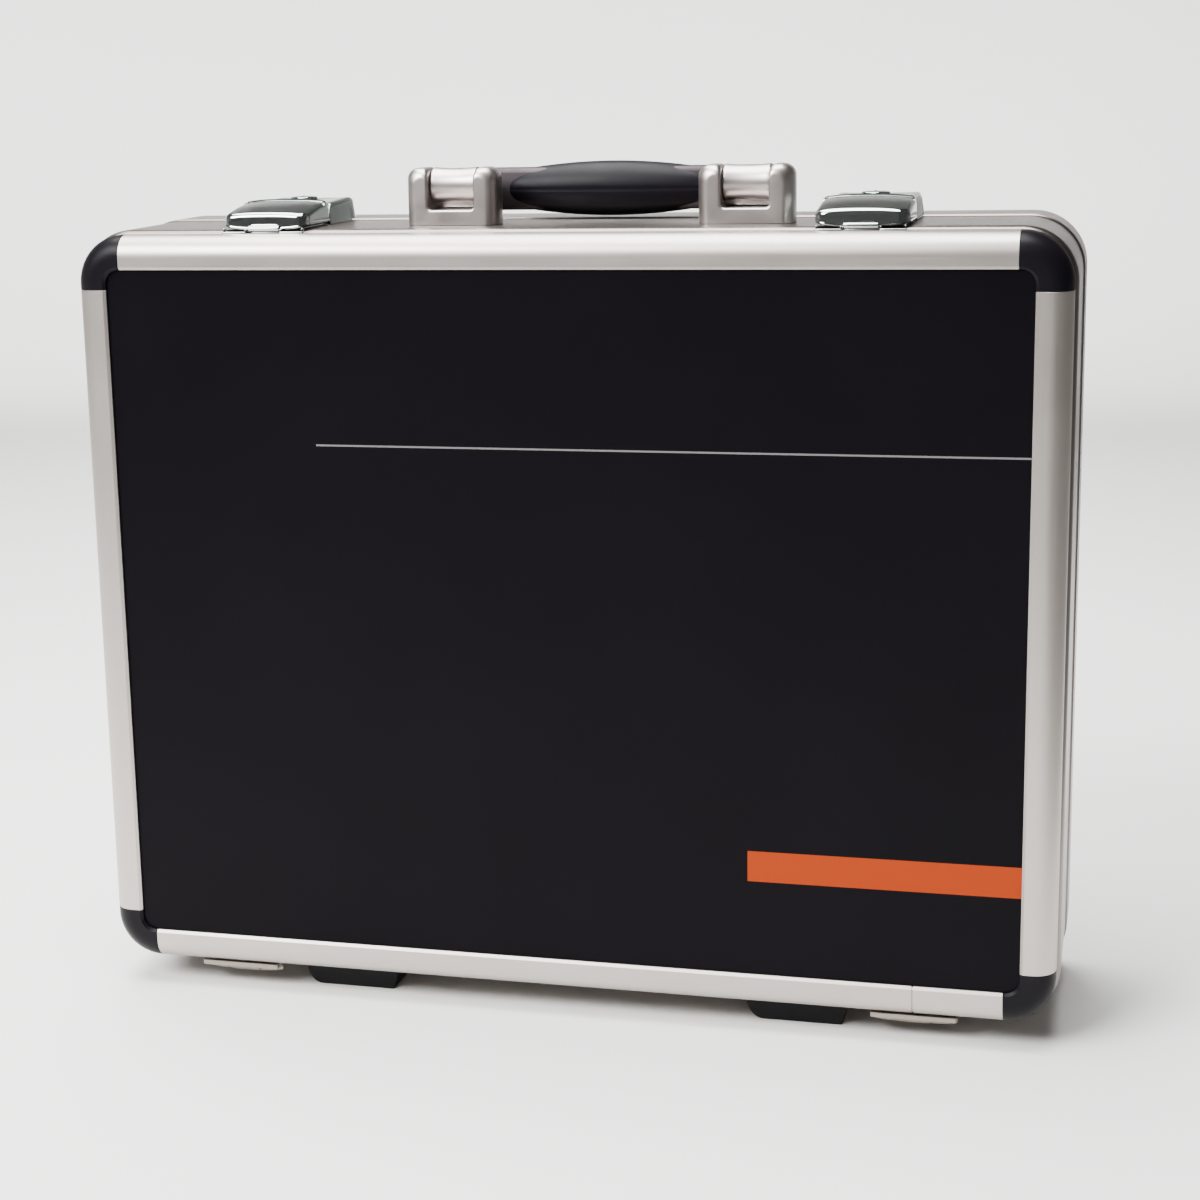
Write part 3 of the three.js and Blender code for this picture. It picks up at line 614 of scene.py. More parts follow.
class CASE_OT_lid_frame(bpy.types.Operator):
    """Builds the lid's four aluminium rails and its four moulded corner pieces"""
    bl_idname = "case.lid_frame"
    bl_label = "Lid frame"

    def execute(self, context):
        size = InMillimetres(context.scene.case_shell)
        section = frame_section(size, size.lid_round, size.lid_depth)
        self.rails(size, section)
        self.corners(size, section)
        return {"FINISHED"}

    def rails(self, size, section):
        reach_x = size.width / 2 - size.corner_leg - size.joint_gap
        reach_z = size.height / 2 - size.corner_rise - size.joint_gap
        hinge_x = node_box("hinge_lid_leaf_right").mean(0)[0]
        inward, y = section[:, 0], depth_y(section[:, 1])
        bars = []
        for name, sign in SIDES:
            outline = np.column_stack([sign * (size.width / 2 - inward), y])
            bars.append((name, along_prism(outline, "z", MIDDLE_Z - reach_z, MIDDLE_Z + reach_z)))
        for name, sign in ROWS:
            outline = np.column_stack([y, MIDDLE_Z + sign * (size.height / 2 - inward)])
            cuts = [hinge_x] if sign < 0 else []
            bars.append((name, along_prism(outline, "x", -reach_x, reach_x, cuts, size.seam)))
        for name, (bar, along) in bars:
            finish_piece(f"lid_rail_{name}_bar", [bar], "lid", "aluminium",
                         [f"lid_rail_{name}"], along=along)

    def corners(self, size, section):
        """The section carried along a short leg, round a quarter turn about the corner's centre
        and along a second leg."""
        upright, level = size.corner_rise - size.corner, size.corner_leg - size.corner
        stops = [(0, upright, BAR_EDGE), (0, upright - BAR_EDGE, 0)]
        stops += [(turn, 0, 0) for turn in np.linspace(0, 90, 19)]
        stops += [(90, level - BAR_EDGE, 0), (90, level, BAR_EDGE)]
        rings = []
        for turn, slide, drawn in stops:
            profile = inset(anticlockwise(section), drawn)
            angle = np.radians(turn)
            out = np.array([np.cos(angle), np.sin(angle)])
            back = np.array([0, -1]) if turn == 0 else np.array([-1, 0])
            flat = (size.corner - profile[:, :1]) * out + slide * back
            rings.append(np.column_stack([
                size.width / 2 - size.corner + flat[:, 0], depth_y(profile[:, 1]),
                size.height / 2 - size.corner + flat[:, 1]]))
        for row, up in ROWS:
            for side, across in SIDES:
                cap = skin(np.stack(rings) * [across, 1, up] + [0, 0, MIDDLE_Z])
                finish_piece(f"lid_corner_{row}_{side}_cap", [cap], "lid",
                             "corner", [f"lid_corner_{row}_{side}"])


def swept_ring(size, profile, steps=14):
    """A profile of (growth, depth) carried round the case: each of its points becomes a rounded
    rectangle grown by that much, and the rows close in a loop. Each point also carries its place
    as if the case were round: on a circle as long as the way round it, and across the profile."""
    rings, places = [], []
    for (grown, depth), across in zip(profile, girth(profile)):
        loop = rounded_rectangle(size.width / 2 + grown, size.height / 2 + grown,
                                 size.corner + grown, steps)
        rings.append(np.column_stack([
            loop[:, 0], np.full(len(loop), depth_y(depth)), MIDDLE_Z + loop[:, 1]]))
        around = girth(loop)
        turn = 2 * np.pi * around / around[-1]
        reach = around[-1] / (2 * np.pi)
        places.append(np.column_stack([
            reach * np.cos(turn), np.full(len(loop), across), reach * np.sin(turn)]))
    return skin(np.stack(rings), loop=True), np.vstack(places)


class CASE_OT_base_shell(bpy.types.Operator):
    """Builds the base's bent band with its lip, and the rear frame that laps into it. The band's
    front edge rolls down on a quarter ellipse"""
    bl_idname = "case.base_shell"
    bl_label = "Base shell"

    def execute(self, context):
        size = InMillimetres(context.scene.case_shell)
        self.band(size)
        self.rear(size)
        return {"FINISHED"}

    def band(self, size):
        step, end = size.band_step, size.band_end
        inner, front = step - size.wall, size.lid_depth + size.parting
        turn = quarter_turn(10)
        roll = np.column_stack([step - size.band_drop * (1 - np.sin(turn)),
                                front + size.band_roll * (1 - np.cos(turn))])
        lip_out, lip_in, lip_front = inner - 1.4, inner - 2.9, size.lid_depth - 3.5
        lip_round, lip_root = 0.4, front + 2.5
        profile = joined(
            (step, end - SHEET_EDGE), roll[::-1], (lip_out, front),
            (lip_out, lip_front + lip_round), (lip_out - lip_round, lip_front),
            (lip_in + SHEET_EDGE, lip_front), (lip_in, lip_front + SHEET_EDGE),
            (lip_in, lip_root), (inner, lip_root), (inner, end), (step - SHEET_EDGE, end))
        part, along = swept_ring(size, profile)
        finish_piece("base_band_wrap", [part], "base", "band", ["base_band"],
                     along=along)

    def rear(self, size):
        """A small groove runs round just behind its front edge, and a spigot fits in the band."""
        proud, spigot = size.band_step + size.rear_step, size.band_step - size.wall - 0.2
        front, spigot_front = size.band_end + 0.2, size.band_end - 6
        rear, radius, wall = size.depth, size.rear_round, size.wall
        bend, bevel = (proud - radius, rear - radius), 0.5
        groove, sunk = front + 3, proud - 0.4
        profile = joined(
            (proud - bevel, front), (proud, front + bevel), (proud, groove),
            (sunk, groove + 0.3), (sunk, groove + 0.9), (proud, groove + 1.2),
            arc(bend, radius, 0, 90, 14), (size.chamfer - size.face, rear),
            (-size.face, rear - size.chamfer * 0.9), (-size.face, rear - wall),
            arc(bend, radius - wall, 90, 0, 10), (proud - wall, front + wall),
            (spigot - wall, front + wall), (spigot - wall, spigot_front),
            (spigot, spigot_front), (spigot, front))
        part, along = swept_ring(size, profile)
        finish_piece("base_rear_frame_wrap", [part], "base", "band",
                     ["base_rear_frame"], along=along)


class CASE_OT_panels(bpy.types.Operator):
    """Finishes the two flat laminate panels"""
    bl_idname = "case.panels"
    bl_label = "Panels"

    def execute(self, context):
        for name in ("lid_panel", "base_back_panel"):
            materials = frame["nodes"][name].data.materials
            materials.clear()
            materials.append(finishes()["laminate"])
        return {"FINISHED"}


# Foam

CLEAR_OF_POCKET = 3.8       # how far a pocket's walls stand off the room it must leave


def foam_outline(size, node):
    """The case's outline drawn in to the width and height of a foam's CAD node."""
    low, high = node_box(node)
    half_x, half_z = (high - low)[[0, 2]] / 2
    return rounded_rectangle(half_x, half_z, size.corner - (size.width / 2 - half_x))


class CASE_OT_foam(bpy.types.Operator):
    """Builds the lid's pad, the pocketed tray and the floor under it from open-cell foam"""
    bl_idname = "case.foam"
    bl_label = "Foam"

    def execute(self, context):
        size = InMillimetres(context.scene.case_shell)
        soft = InMillimetres(context.scene.case_foam)
        for name, body in (("lid_foam", "lid"), ("base_foam_floor", "base")):
            low, high = node_box(name)[:, 1]
            outline = foam_outline(size, "lid_foam") + [0, MIDDLE_Z]
            self.keep(f"{name}_pad", [prism(outline, "y", low, high, soft.edge, 5)], body, name)
        self.tray(size, soft)
        return {"FINISHED"}

    def keep(self, name, parts, body, node):
        piece = finish_piece(name, parts, body, "foam", [node], sharp=60)

    def tray(self, size, soft):
        """Each wall is an outline dropped down the depth, with a quarter-circle lip at the top;
        the two faces are flat with the pockets left out."""
        walls = [(foam_outline(size, "base_foam_tray"), 1)]
        for opening in frame["record"]["physics"]["openings"]:
            if opening["name"] == "handle_gap":
                continue
            box = np.array(opening["box_m"]) / MM
            middle, half = box.mean(0), (box[1] - box[0]) / 2 + CLEAR_OF_POCKET
            hole = rounded_rectangle(half[0], half[2], soft.pocket_round,
                                     centre=(middle[0], middle[2] - MIDDLE_Z))
            walls.append((hole, -1))
        low, high = node_box("base_foam_tray")[:, 1]
        turn = quarter_turn(5)
        depths = np.append(low + soft.lip * (1 - np.cos(turn)), high)
        insets = np.append(soft.lip * (1 - np.sin(turn)), 0)
        parts, tops, bottoms = [], [], []
        for outline, sign in walls:
            rings = stacked(outline, "y", depths, sign * insets) + [0, 0, MIDDLE_Z]
            parts.append(skin(rings, capped=False))
            tops.append(rings[0])
            bottoms.append(rings[-1])
        parts.append(holed(tops[0], tops[1:]))
        parts.append(holed(bottoms[0], bottoms[1:], flip=True))
        self.keep("base_foam_tray_pad", parts, "base", "base_foam_tray")


# Feet and hinges

class CASE_OT_feet(bpy.types.Operator):
    """Builds the four moulded rubber feet, each with a round nose and a steep end"""
    bl_idname = "case.feet"
    bl_label = "Feet"

    def execute(self, context):
        """The nose is most of a quarter ellipse, and the steep end stands on a small round."""
        nose, heel, edge = 7.5, 1.2, 0.8
        turn = np.radians(np.linspace(180, 262, 12))
        for node in [f"foot_{row}_{side}" for row in ("front", "rear") for side, _ in SIDES]:
            low, high = node_box(node)
            half, top = (high[0] - low[0]) / 2, high[2]
            rise = top - edge
            curve = np.column_stack([nose - half + nose * np.cos(turn), rise + rise * np.sin(turn)])
            outline = joined(
                (-half, top), curve, (nose + 1 - half, 0),
                arc((half - 3.4, heel), heel, 270, 335, 5), (half - 0.2, top - 0.9), (half, top))
            outline += [(low[0] + high[0]) / 2, 0]
            finish_piece(f"{node}_block", [prism(outline, "y", low[1], high[1], edge, 5)], "base",
                         "rubber", [node])
        return {"FINISHED"}


class CASE_OT_hinges(bpy.types.Operator):
    """Builds the two butt hinges under the parting line, with olive-shaped knuckles"""
    bl_idname = "case.hinges"
    bl_label = "Hinges"

    def execute(self, context):
        inner, outer = 7.6, 8.0         # ends of the middle knuckle and of the outer ones
        thick_lid, thick_base = 2.2, 1.4
        off_pin, pin_radius = 3, 0.9
        for side, _ in SIDES:
            lid_node, base_node = f"hinge_lid_leaf_{side}", f"hinge_base_leaf_{side}"
            lid_box, base_box = node_box(lid_node), node_box(base_node)
            axis = JOINTS["lid_hinge"].copy()
            axis[0] = lid_box.mean(0)[0]
            half = (lid_box[1][0] - lid_box[0][0]) / 2
            top = lid_box[1][2]
            lid_parts = [self.leaf(axis[0], half, lid_box[0][1], axis[1] - off_pin, top,
                                   thick_lid)]
            for sign in (-1, 1):
                near, far = sorted((axis[0] + sign * outer, axis[0] + sign * half))
                lid_parts.append(self.knuckle(axis, near, far, half))
                web = rounded_rectangle((far - near) / 2, 1.6, 0.3, 2,
                                        ((near + far) / 2, axis[1] - 1.9))
                lid_parts.append(prism(web, "z", top - thick_lid, top, 0.2, 2))
            finish_piece(f"{lid_node}_plate", lid_parts, "lid", "hinge", [lid_node])
            top = base_box[1][2]
            web = rounded_rectangle(inner, 1.8, 0.3, 2, (axis[0], axis[1] + 1.6))
            base_parts = [self.leaf(axis[0], half, axis[1] + off_pin, base_box[1][1], top,
                                    thick_base),
                          self.knuckle(axis, axis[0] - inner, axis[0] + inner, half),
                          prism(web, "z", top - thick_base, top, 0.2, 2)]
            finish_piece(f"{base_node}_plate", base_parts, "base", "hinge",
                         [base_node])
            pin = rod_x(axis, pin_radius, 2 * half, 0.3, 24)
            finish_piece(f"hinge_pin_{side}_rod", [pin], "base", "hinge",
                         [f"hinge_pin_{side}"])
        return {"FINISHED"}

    def leaf(self, x, half, front, rear, top, thick):
        plan = rounded_rectangle(half, abs(rear - front) / 2, 1.2, 6, (x, (front + rear) / 2))
        return prism(plan, "z", top - thick, top, 0.3, 3)

    def knuckle(self, axis, near, far, half):
        """A barrel whose radius is 1.1 mm plus 1.5 mm times the root of one minus the square of
        the way to the hinge's end, open round its pin."""
        bore, end, swell = 1.0, 1.1, 1.5
        x = np.linspace(near, far, 13)
        share = np.clip(abs(x - axis[0]) / half, 0, 1)
        radius = end + swell * np.sqrt(1 - share ** 2)
        radius[[0, -1]] -= 0.1
        profile = np.vstack([[near, bore], np.column_stack([x, radius]), [far, bore]])
        return lathe_x(profile, (0, axis[1], axis[2]), 40, loop=True)


# Latches

FLARE_LOW, FLARE_HIGH = 0.45, 0.6       # above a cover's foot, where its flared lip ends

# The hook's strap and its turned-down nose as (depth, height above the band)
HOOK_STRAP = ((12.9, 0.75), (16.5, 0.8), (17.6, 1.2), (25, 2.6), (40, 2.8), (42, 4.0), (40, 4.4),
              (25, 3.8), (17, 1.75), (12.9, 1.65))
HOOK_NOSE = ((14.0, -0.6), (12.9, -0.6), (12.35, -0.25), (12.05, 0.35), (12.1, 0.9), (12.45, 1.4),
             (13.0, 1.7))

# The key lock's stepped rim and top as (how far in, how far below its height)
LOCK_RIM = ((0, 0.85), (0.15, 0.7), (1.2, 0.5), (2.6, 0.3))


def bent_cover(plan, bottom, top, fillet, shares=(), draft=0.0, flare=0.0, steps=6):
    """A plan outline raised from the height bottom(x, y) up a wall, which leans in by the draft, to
    a quarter-circle fillet under the surface top(x, y), then drawn in over that surface by shares
    of the way to its middle. Its lowest strip turns outward by the flare."""
    plan = anticlockwise(plan)
    foot = bottom(plan[:, 0], plan[:, 1])
    rings = [np.column_stack([plan, foot])]
    if flare:
        rings = [np.column_stack([inset(plan, -flare), foot]),
                 np.column_stack([plan, foot + FLARE_LOW]),
                 np.column_stack([plan, foot + FLARE_HIGH])]
    turn = quarter_turn(steps)
    for inward, drop in zip(fillet * (1 - np.cos(turn)), fillet * (1 - np.sin(turn))):
        ring = inset(plan, draft + inward)
        rings.append(np.column_stack([ring, top(ring[:, 0], ring[:, 1]) - drop]))
    edge = inset(plan, draft + fillet)
    middle = (edge.min(0) + edge.max(0)) / 2
    for share in shares:
        ring = middle + (edge - middle) * (1 - share)
        rings.append(np.column_stack([ring, top(ring[:, 0], ring[:, 1])]))
    return np.stack(rings)


def filled(ring, across, along, top):
    """A grid over the surface top(x, y) inside a ring that runs along its front, up its right side,
    back along its rear and down its left side. Each row lies evenly between two facing points of
    the sides, shared out as the front run is."""
    front, right = ring[:across], ring[across:across + along]
    rear = ring[across + along:2 * across + along][::-1]
    left = ring[2 * across + along:][::-1]
    share = ((front[:, 0] - front[0, 0]) / (front[-1, 0] - front[0, 0]))[None, :, None]
    rows = left[:, None] * (1 - share) + right[:, None] * share
    points = np.concatenate([front[None], rows, rear[None]])
    points[1:-1, 1:-1, 2] = top(points[1:-1, 1:-1, 0], points[1:-1, 1:-1, 1])
    index = np.arange(points.shape[0] * points.shape[1]).reshape(points.shape[:2])
    near, far = index[:-1], index[1:]
    quads = np.stack([near[:, :-1], near[:, 1:], far[:, 1:], far[:, :-1]], -1).reshape(-1, 4)
    return points.reshape(-1, 3), quads.tolist()


class CASE_OT_latches(bpy.types.Operator):
    """Builds the two key latches: plate, lever, hook, pin, housing, lock and keeper"""
    bl_idname = "case.latches"
    bl_label = "Latches"

    def execute(self, context):
        size = InMillimetres(context.scene.case_latch)
        rail = BAND_TOP - InMillimetres(context.scene.case_shell).band_step
        for side, _ in SIDES:
            pivot = JOINTS[f"latch_lift_{side}"]
            self.lever(size, side, pivot)
            self.hook(size, side, pivot)
            self.plate(size, side, pivot)
            self.housing(size, side, pivot)
            self.lock(size, side)
            self.keeper(size, side, rail)
        return {"FINISHED"}

    def lever(self, size, side, pivot):
        """The cover's top rises with the sine of the way to the pin and then follows a circle about
        it, less the crown times the cube of the way to its side. Its skirt ends in a shallow arch,
        cut away in the middle for the hook's strap and round the pin so that it can turn."""
        x, half, bend = pivot[0], size.width / 2, size.corner
        rear_round, cheek, rear_wall = 1.2, 3.4, 7.4
        front, rear = depth_y(size.front), pivot[1] + 3.4
        notch, side_x, slope = 6.0, half - bend, np.radians(78)
        skirt_x = np.concatenate([
            np.linspace(-side_x, -notch - 0.3, 8), np.linspace(-notch, notch, 7),
            np.linspace(notch + 0.3, side_x, 8)])
        side_y = np.linspace(front + bend + 1, rear - 1.5, 16)
        right = np.vstack([
            arc((side_x, front + bend), bend, 270, 360, 12)[1:],
            np.column_stack([np.full(len(side_y), half), side_y]),
            arc((half - rear_round, rear - rear_round), rear_round, 0, 90, 4)[:-1]])
        rear_x = np.linspace(rear_round - half, half - rear_round, len(skirt_x))
        plan = np.vstack([
            np.column_stack([skirt_x, np.full(len(skirt_x), front)]), right,
            np.column_stack([rear_x[::-1], np.full(len(skirt_x), rear)]),
            (right * [-1, 1])[::-1]]) + np.array([x, 0])
        crest, level_pin = pivot[2] + size.curl - BAND_TOP, pivot[2] - BAND_TOP

        def top(px, py):
            way = np.clip((py - front) / (pivot[1] - front), 0, 1)
            rise = (size.front_height
                    + (crest - size.front_height) * np.sin(slope * way) / np.sin(slope))
            past = np.clip(py - pivot[1], 0, size.curl * 0.95)
            over = size.curl - np.sqrt(size.curl ** 2 - past ** 2)
            return BAND_TOP + rise - over - size.crown * np.clip(abs(px - x) / half, 0, 1) ** 3

        def bottom(px, py):
            arch = size.skirt + size.arch * ((px - x) / half) ** 2
            strap = (py < front + 0.5) & (abs(px - x) < notch + 0.1)
            level = np.where(strap, size.tip_top + 0.1, arch)
            past = np.clip(py - pivot[1], 0, 4.6)
            turning = level_pin - np.sqrt((size.curl - 0.2) ** 2 - past ** 2)
            level = np.where(py > pivot[1], np.maximum(level, turning), level)
            behind = (py > rear - 0.5) & (abs(px - x) < half - cheek)
            return BAND_TOP + np.where(behind, rear_wall, level)

        rings = bent_cover(plan, bottom, top, size.roll, draft=0.12, flare=0.3)
        lid = filled(rings[-1], len(skirt_x), len(right), top)
        finish_piece(f"latch_lever_{side}_cover", [skin(rings, capped=False), lid],
                     f"latch_lever_{side}", "chrome", [f"latch_lever_{side}"],
                     sharp=40, wall=size.wall)
        inner = size.lug - size.lug_width / 2 - 0.3
        outer = size.lug + size.lug_width / 2 + 0.3
        eyes = [rod_x((x + sign * (near + far) / 2, pivot[1], pivot[2]), size.eye + 0.1,
                      far - near, 0.25)
                for sign in (-1, 1) for near, far in ((size.hook / 2 + 0.3, inner),
                                                      (outer, half - 0.4))]
        finish_piece(f"latch_lever_{side}_eyes", eyes, f"latch_lever_{side}",
                     "chrome")

    def hook(self, size, side, pivot):
        """A strap bent in two places runs from the pin to a tip that is turned down in front."""
        nose = (*HOOK_NOSE, (14.0, size.tip_top))
        strap_half, hub = 5.7, 3.2
        parts = []
        for shape, half, edge, steps in ((HOOK_STRAP, strap_half, 0.15, 2),
                                         (nose, size.tip / 2, 0.5, 5)):
            profile = np.array(shape) + [FRONT_Y, BAND_TOP]
            parts.append(prism(profile, "x", pivot[0] - half, pivot[0] + half, edge, steps))
        parts.append(rod_x(pivot, hub, size.hook, 0.3))
        finish_piece(f"latch_hook_{side}_strap", parts, f"latch_hook_{side}",
                     "chrome", [f"latch_hook_{side}"])

    def plate(self, size, side, pivot):
        """A flat sheet with two slim lugs for the pin, which the lifted lever clears."""
        low, high = node_box(f"latch_plate_{side}")
        front, thick, stem_half, lug_radius = depth_y(18.2), 0.8, 1.35, size.eye - 1.6
        pin = rod_x(pivot, size.pin, size.width - 3.6, 0.4, 24)
        plan = rounded_rectangle((high[0] - low[0]) / 2, (high[1] - front) / 2, 1.5, 6,
                                 (pivot[0], (front + high[1]) / 2))
        parts = [prism(plan, "z", low[2], low[2] + thick, 0.2, 2)]
        stem = rounded_rectangle(stem_half, (pivot[2] - low[2]) / 2, 0.3, 2,
                                 (pivot[1], (pivot[2] + low[2]) / 2))
        for sign in (-1, 1):
            x = pivot[0] + sign * size.lug
            parts.append(rod_x((x, pivot[1], pivot[2]), lug_radius, size.lug_width, 0.25))
            parts.append(prism(stem, "x", x - size.lug_width / 2, x + size.lug_width / 2, 0.2, 2))
        finish_piece(f"latch_plate_{side}_sheet", parts, "base", "chrome",
                     [f"latch_plate_{side}"])
        finish_piece(f"latch_pin_{side}_rod", [pin], "base", "nickel",
                     [f"latch_pin_{side}"])

    def housing(self, size, side, pivot):
        """A closed cover behind the lever with a round hole for the lock, round which its top sinks
        by the dish times the square of one minus the square of the way to its side. Its foot steps
        up behind, where the rear frame stands proud of the band."""
        x, half = pivot[0], size.width / 2
        front, rear = pivot[1] + size.curl + 0.4, depth_y(size.housing_end)
        shoulder = pivot[2] + size.curl - 1.8 - BAND_TOP
        rise = (size.housing_height - shoulder) / (rear - front)
        step_y, low_foot, high_foot = depth_y(75.8), BAND_TOP + 0.2, BAND_TOP + 1
        front_round, rear_round, edge_round, well_depth = 1, 7, 2.6, 3
        ramp, tail, tail_drop = 12, 9, 0.8
        right = np.vstack([
            arc((half - front_round, front + front_round), front_round, 270, 360, 4),
            [[half, step_y - 0.1], [half, step_y + 0.1]],
            arc((half - rear_round, rear - rear_round), rear_round, 0, 90, 12)])
        plan = joined(right, (right * [-1, 1])[::-1]) + np.array([x, 0])

        def top(px, y):
            end = np.clip((y - rear + tail) / tail, 0, 1)
            across = np.clip(abs(px - x) / half, 0, 1)
            from_front = np.clip((y - front) / ramp, 0, 1)
            dish = size.dish * (1 - across ** 2) ** 2 * from_front * (1 - end / 2)
            return BAND_TOP + shoulder + rise * (y - front) - dish - tail_drop * end ** 2

        def bottom(_, y):
            return np.where(y > step_y, high_foot, low_foot)

        rings = bent_cover(plan, bottom, top, edge_round, shares=(0.12, 0.25), draft=1.0)
        points, faces = skin(rings, capped=False)
        faces.append(list(range(rings.shape[1])))
        lock, reach = JOINTS[f"lock_turn_{side}"], size.lock_radius + 0.3
        hole = rounded_rectangle(reach, reach, size.lock_radius + 0.29, 12, (lock[0], lock[1]))
        rim = np.column_stack([hole, top(hole[:, 0], hole[:, 1])])
        cap = holed(rings[-1] * [1, 1, 0], [rim * [1, 1, 0]])[1]
        well = np.stack([rim, rim - [0, 0, well_depth]])
        parts = [(points, faces), (np.vstack([rings[-1], rim]), cap), skin(well, capped=False),
                 (well[1], [list(range(len(rim)))])]
        finish_piece(f"latch_housing_{side}_cover", parts, "base", "chrome",
                     [f"latch_housing_{side}"], sharp=40)

    def lock(self, size, side):
        """A disc with a stepped rim and a key slot sunk in its top."""
        centre, count = JOINTS[f"lock_turn_{side}"], 48
        low, high = node_box(f"latch_lock_{side}")[0][2], BAND_TOP + size.lock_height
        turn = full_turn(count)
        circle = np.stack([np.cos(turn), np.sin(turn)], 1)
        steps = [(size.lock_radius, low)]
        steps += [(size.lock_radius - inward, high - below) for inward, below in LOCK_RIM]
        rings = np.stack([np.column_stack([circle * r + centre[:2], np.full(count, z)])
                          for r, z in steps])
        slot_half, slot_reach, slot_deep = 0.7, 3.2, 2.1
        slot = rounded_rectangle(slot_half, slot_reach, 0.5, 3, centre[:2])
        top = np.column_stack([slot, np.full(len(slot), high - LOCK_RIM[-1][1])])
        floor = top - [0, 0, slot_deep]
        parts = [skin(rings, capped=False), (rings[0], [list(range(count))]),
                 holed(rings[-1], [top]), skin(np.stack([top, floor]), capped=False),
                 (floor, [list(range(len(floor)))])]
        finish_piece(f"latch_lock_{side}_disc", parts, f"latch_lock_{side}",
                     "chrome", [f"latch_lock_{side}"])

    def keeper(self, size, side, rail):
        """A strip on the lid's rail with a gap for the hook's tip: small upright edges stand at the
        gap and at its ends, and a low bar crosses the gap behind the tip."""
        low, high = node_box(f"latch_keeper_{side}")
        x = (low[0] + high[0]) / 2
        gap, end = size.tip / 2 + 0.5, (high[0] - low[0]) / 2
        strip_y, post_y, bar_y = depth_y(12.35), depth_y(12.7), depth_y(14.25)
        strip_top, bar_top, sunk = 0.8, 1.6, 0.2
        parts = []
        for sign in (-1, 1):
            strip = rounded_rectangle((end - gap) / 2, 1.65, 0.5, 3,
                                      (x + sign * (gap + end) / 2, strip_y))
            parts.append(prism(strip, "z", rail - sunk, rail + strip_top, 0.25, 3))
            for place, post_top in ((gap + 0.4, 1.9), (end - 0.5, 2.2)):
                post = rounded_rectangle(0.4, 1.0, 0.25, 3, (x + sign * place, post_y))
                parts.append(prism(post, "z", rail, rail + post_top, 0.25, 3))
        bar = rounded_rectangle(gap + 0.6, 0.14, 0.1, 2, (x, bar_y))
        parts.append(prism(bar, "z", rail - sunk, rail + bar_top, 0.1, 2))
        finish_piece(f"latch_keeper_{side}_strip", parts, "lid", "chrome",
                     [f"latch_keeper_{side}"])


# Handle

BRACKET_FRONT = 12      # how far a bracket reaches in front of the handle's axis


class CASE_OT_brackets(bpy.types.Operator):
    """Builds the handle's two cast brackets"""
    bl_idname = "case.brackets"
    bl_label = "Brackets"

    def execute(self, context):
        size = InMillimetres(context.scene.case_handle)
        axis, pin_radius = JOINTS["handle_fold"], 2
        for side, sign in SIDES:
            x = axis[0] + sign * size.spacing / 2
            finish_piece(f"handle_bracket_{side}_casting", [self.casting(size, x, axis[1])],
                         "base", "nickel", [f"handle_bracket_{side}"], sharp=38)
            pin = rod_x((x, axis[1], axis[2]), pin_radius, size.bracket_width - 2, 0.4, 24)
            finish_piece(f"handle_pin_{side}_rod", [pin], "base", "nickel",
                         [f"handle_pin_{side}"])
        return {"FINISHED"}

    def casting(self, size, x, y):
        """A U-shaped outline carried front to back. At a distance d from either end its width and
        height shrink by r - sqrt(r^2 - (r - d)^2), and its notch opens by the same rule."""
        front = y - BRACKET_FRONT
        turn = 1 - np.cos(quarter_turn(8))
        ends = []
        for plan_round in (size.plan_front, size.plan_rear):
            radii = size.notch_rim, size.top_round, plan_round
            near = np.unique(np.round(np.concatenate([turn * radius for radius in radii]), 3))
            ends.append([(away, self.outline(size, away, plan_round)) for away in near])
        rows = [(front + away, outline) for away, outline in ends[0]]
        rows += [(front + size.bracket_depth - away, outline) for away, outline in ends[1][::-1]]
        return skin(np.stack([
            np.column_stack([x + outline[:, 0], np.full(len(outline), place),
                             BAND_TOP + outline[:, 1]]) for place, outline in rows]))

    def outline(self, size, edge, plan_round):
        """Half the width and the height shrink towards the casting's ends, and the ear's outer top
        corner is a quarter circle that never takes more than 0.7 of the ear."""
        def shrink(radius):
            gap = max(radius - edge, 0)
            return radius - np.sqrt(radius ** 2 - gap ** 2)

        half = size.bracket_width / 2 - shrink(plan_round) * 0.75
        top = size.bracket_height - shrink(size.top_round)
        cut = shrink(size.notch_rim)
        notch, floor = size.notch / 2 + cut, size.notch_floor - cut
        ear, corner, foot = half - notch, 2.2, 0.2
        outer, inner = min(5.2, ear * 0.68), min(2.4, ear * 0.3)
        return joined(
            (half, foot), arc((half - outer, top - outer), outer, 0, 90, 14),
            arc((notch + inner, top - inner), inner, 90, 180, 8),
            arc((notch - corner, floor + corner), corner, 0, -90, 8),
            arc((corner - notch, floor + corner), corner, 270, 180, 8),
            arc((-notch - inner, top - inner), inner, 0, 90, 8),
            arc((outer - half, top - outer), outer, 90, 180, 14), (-half, foot))


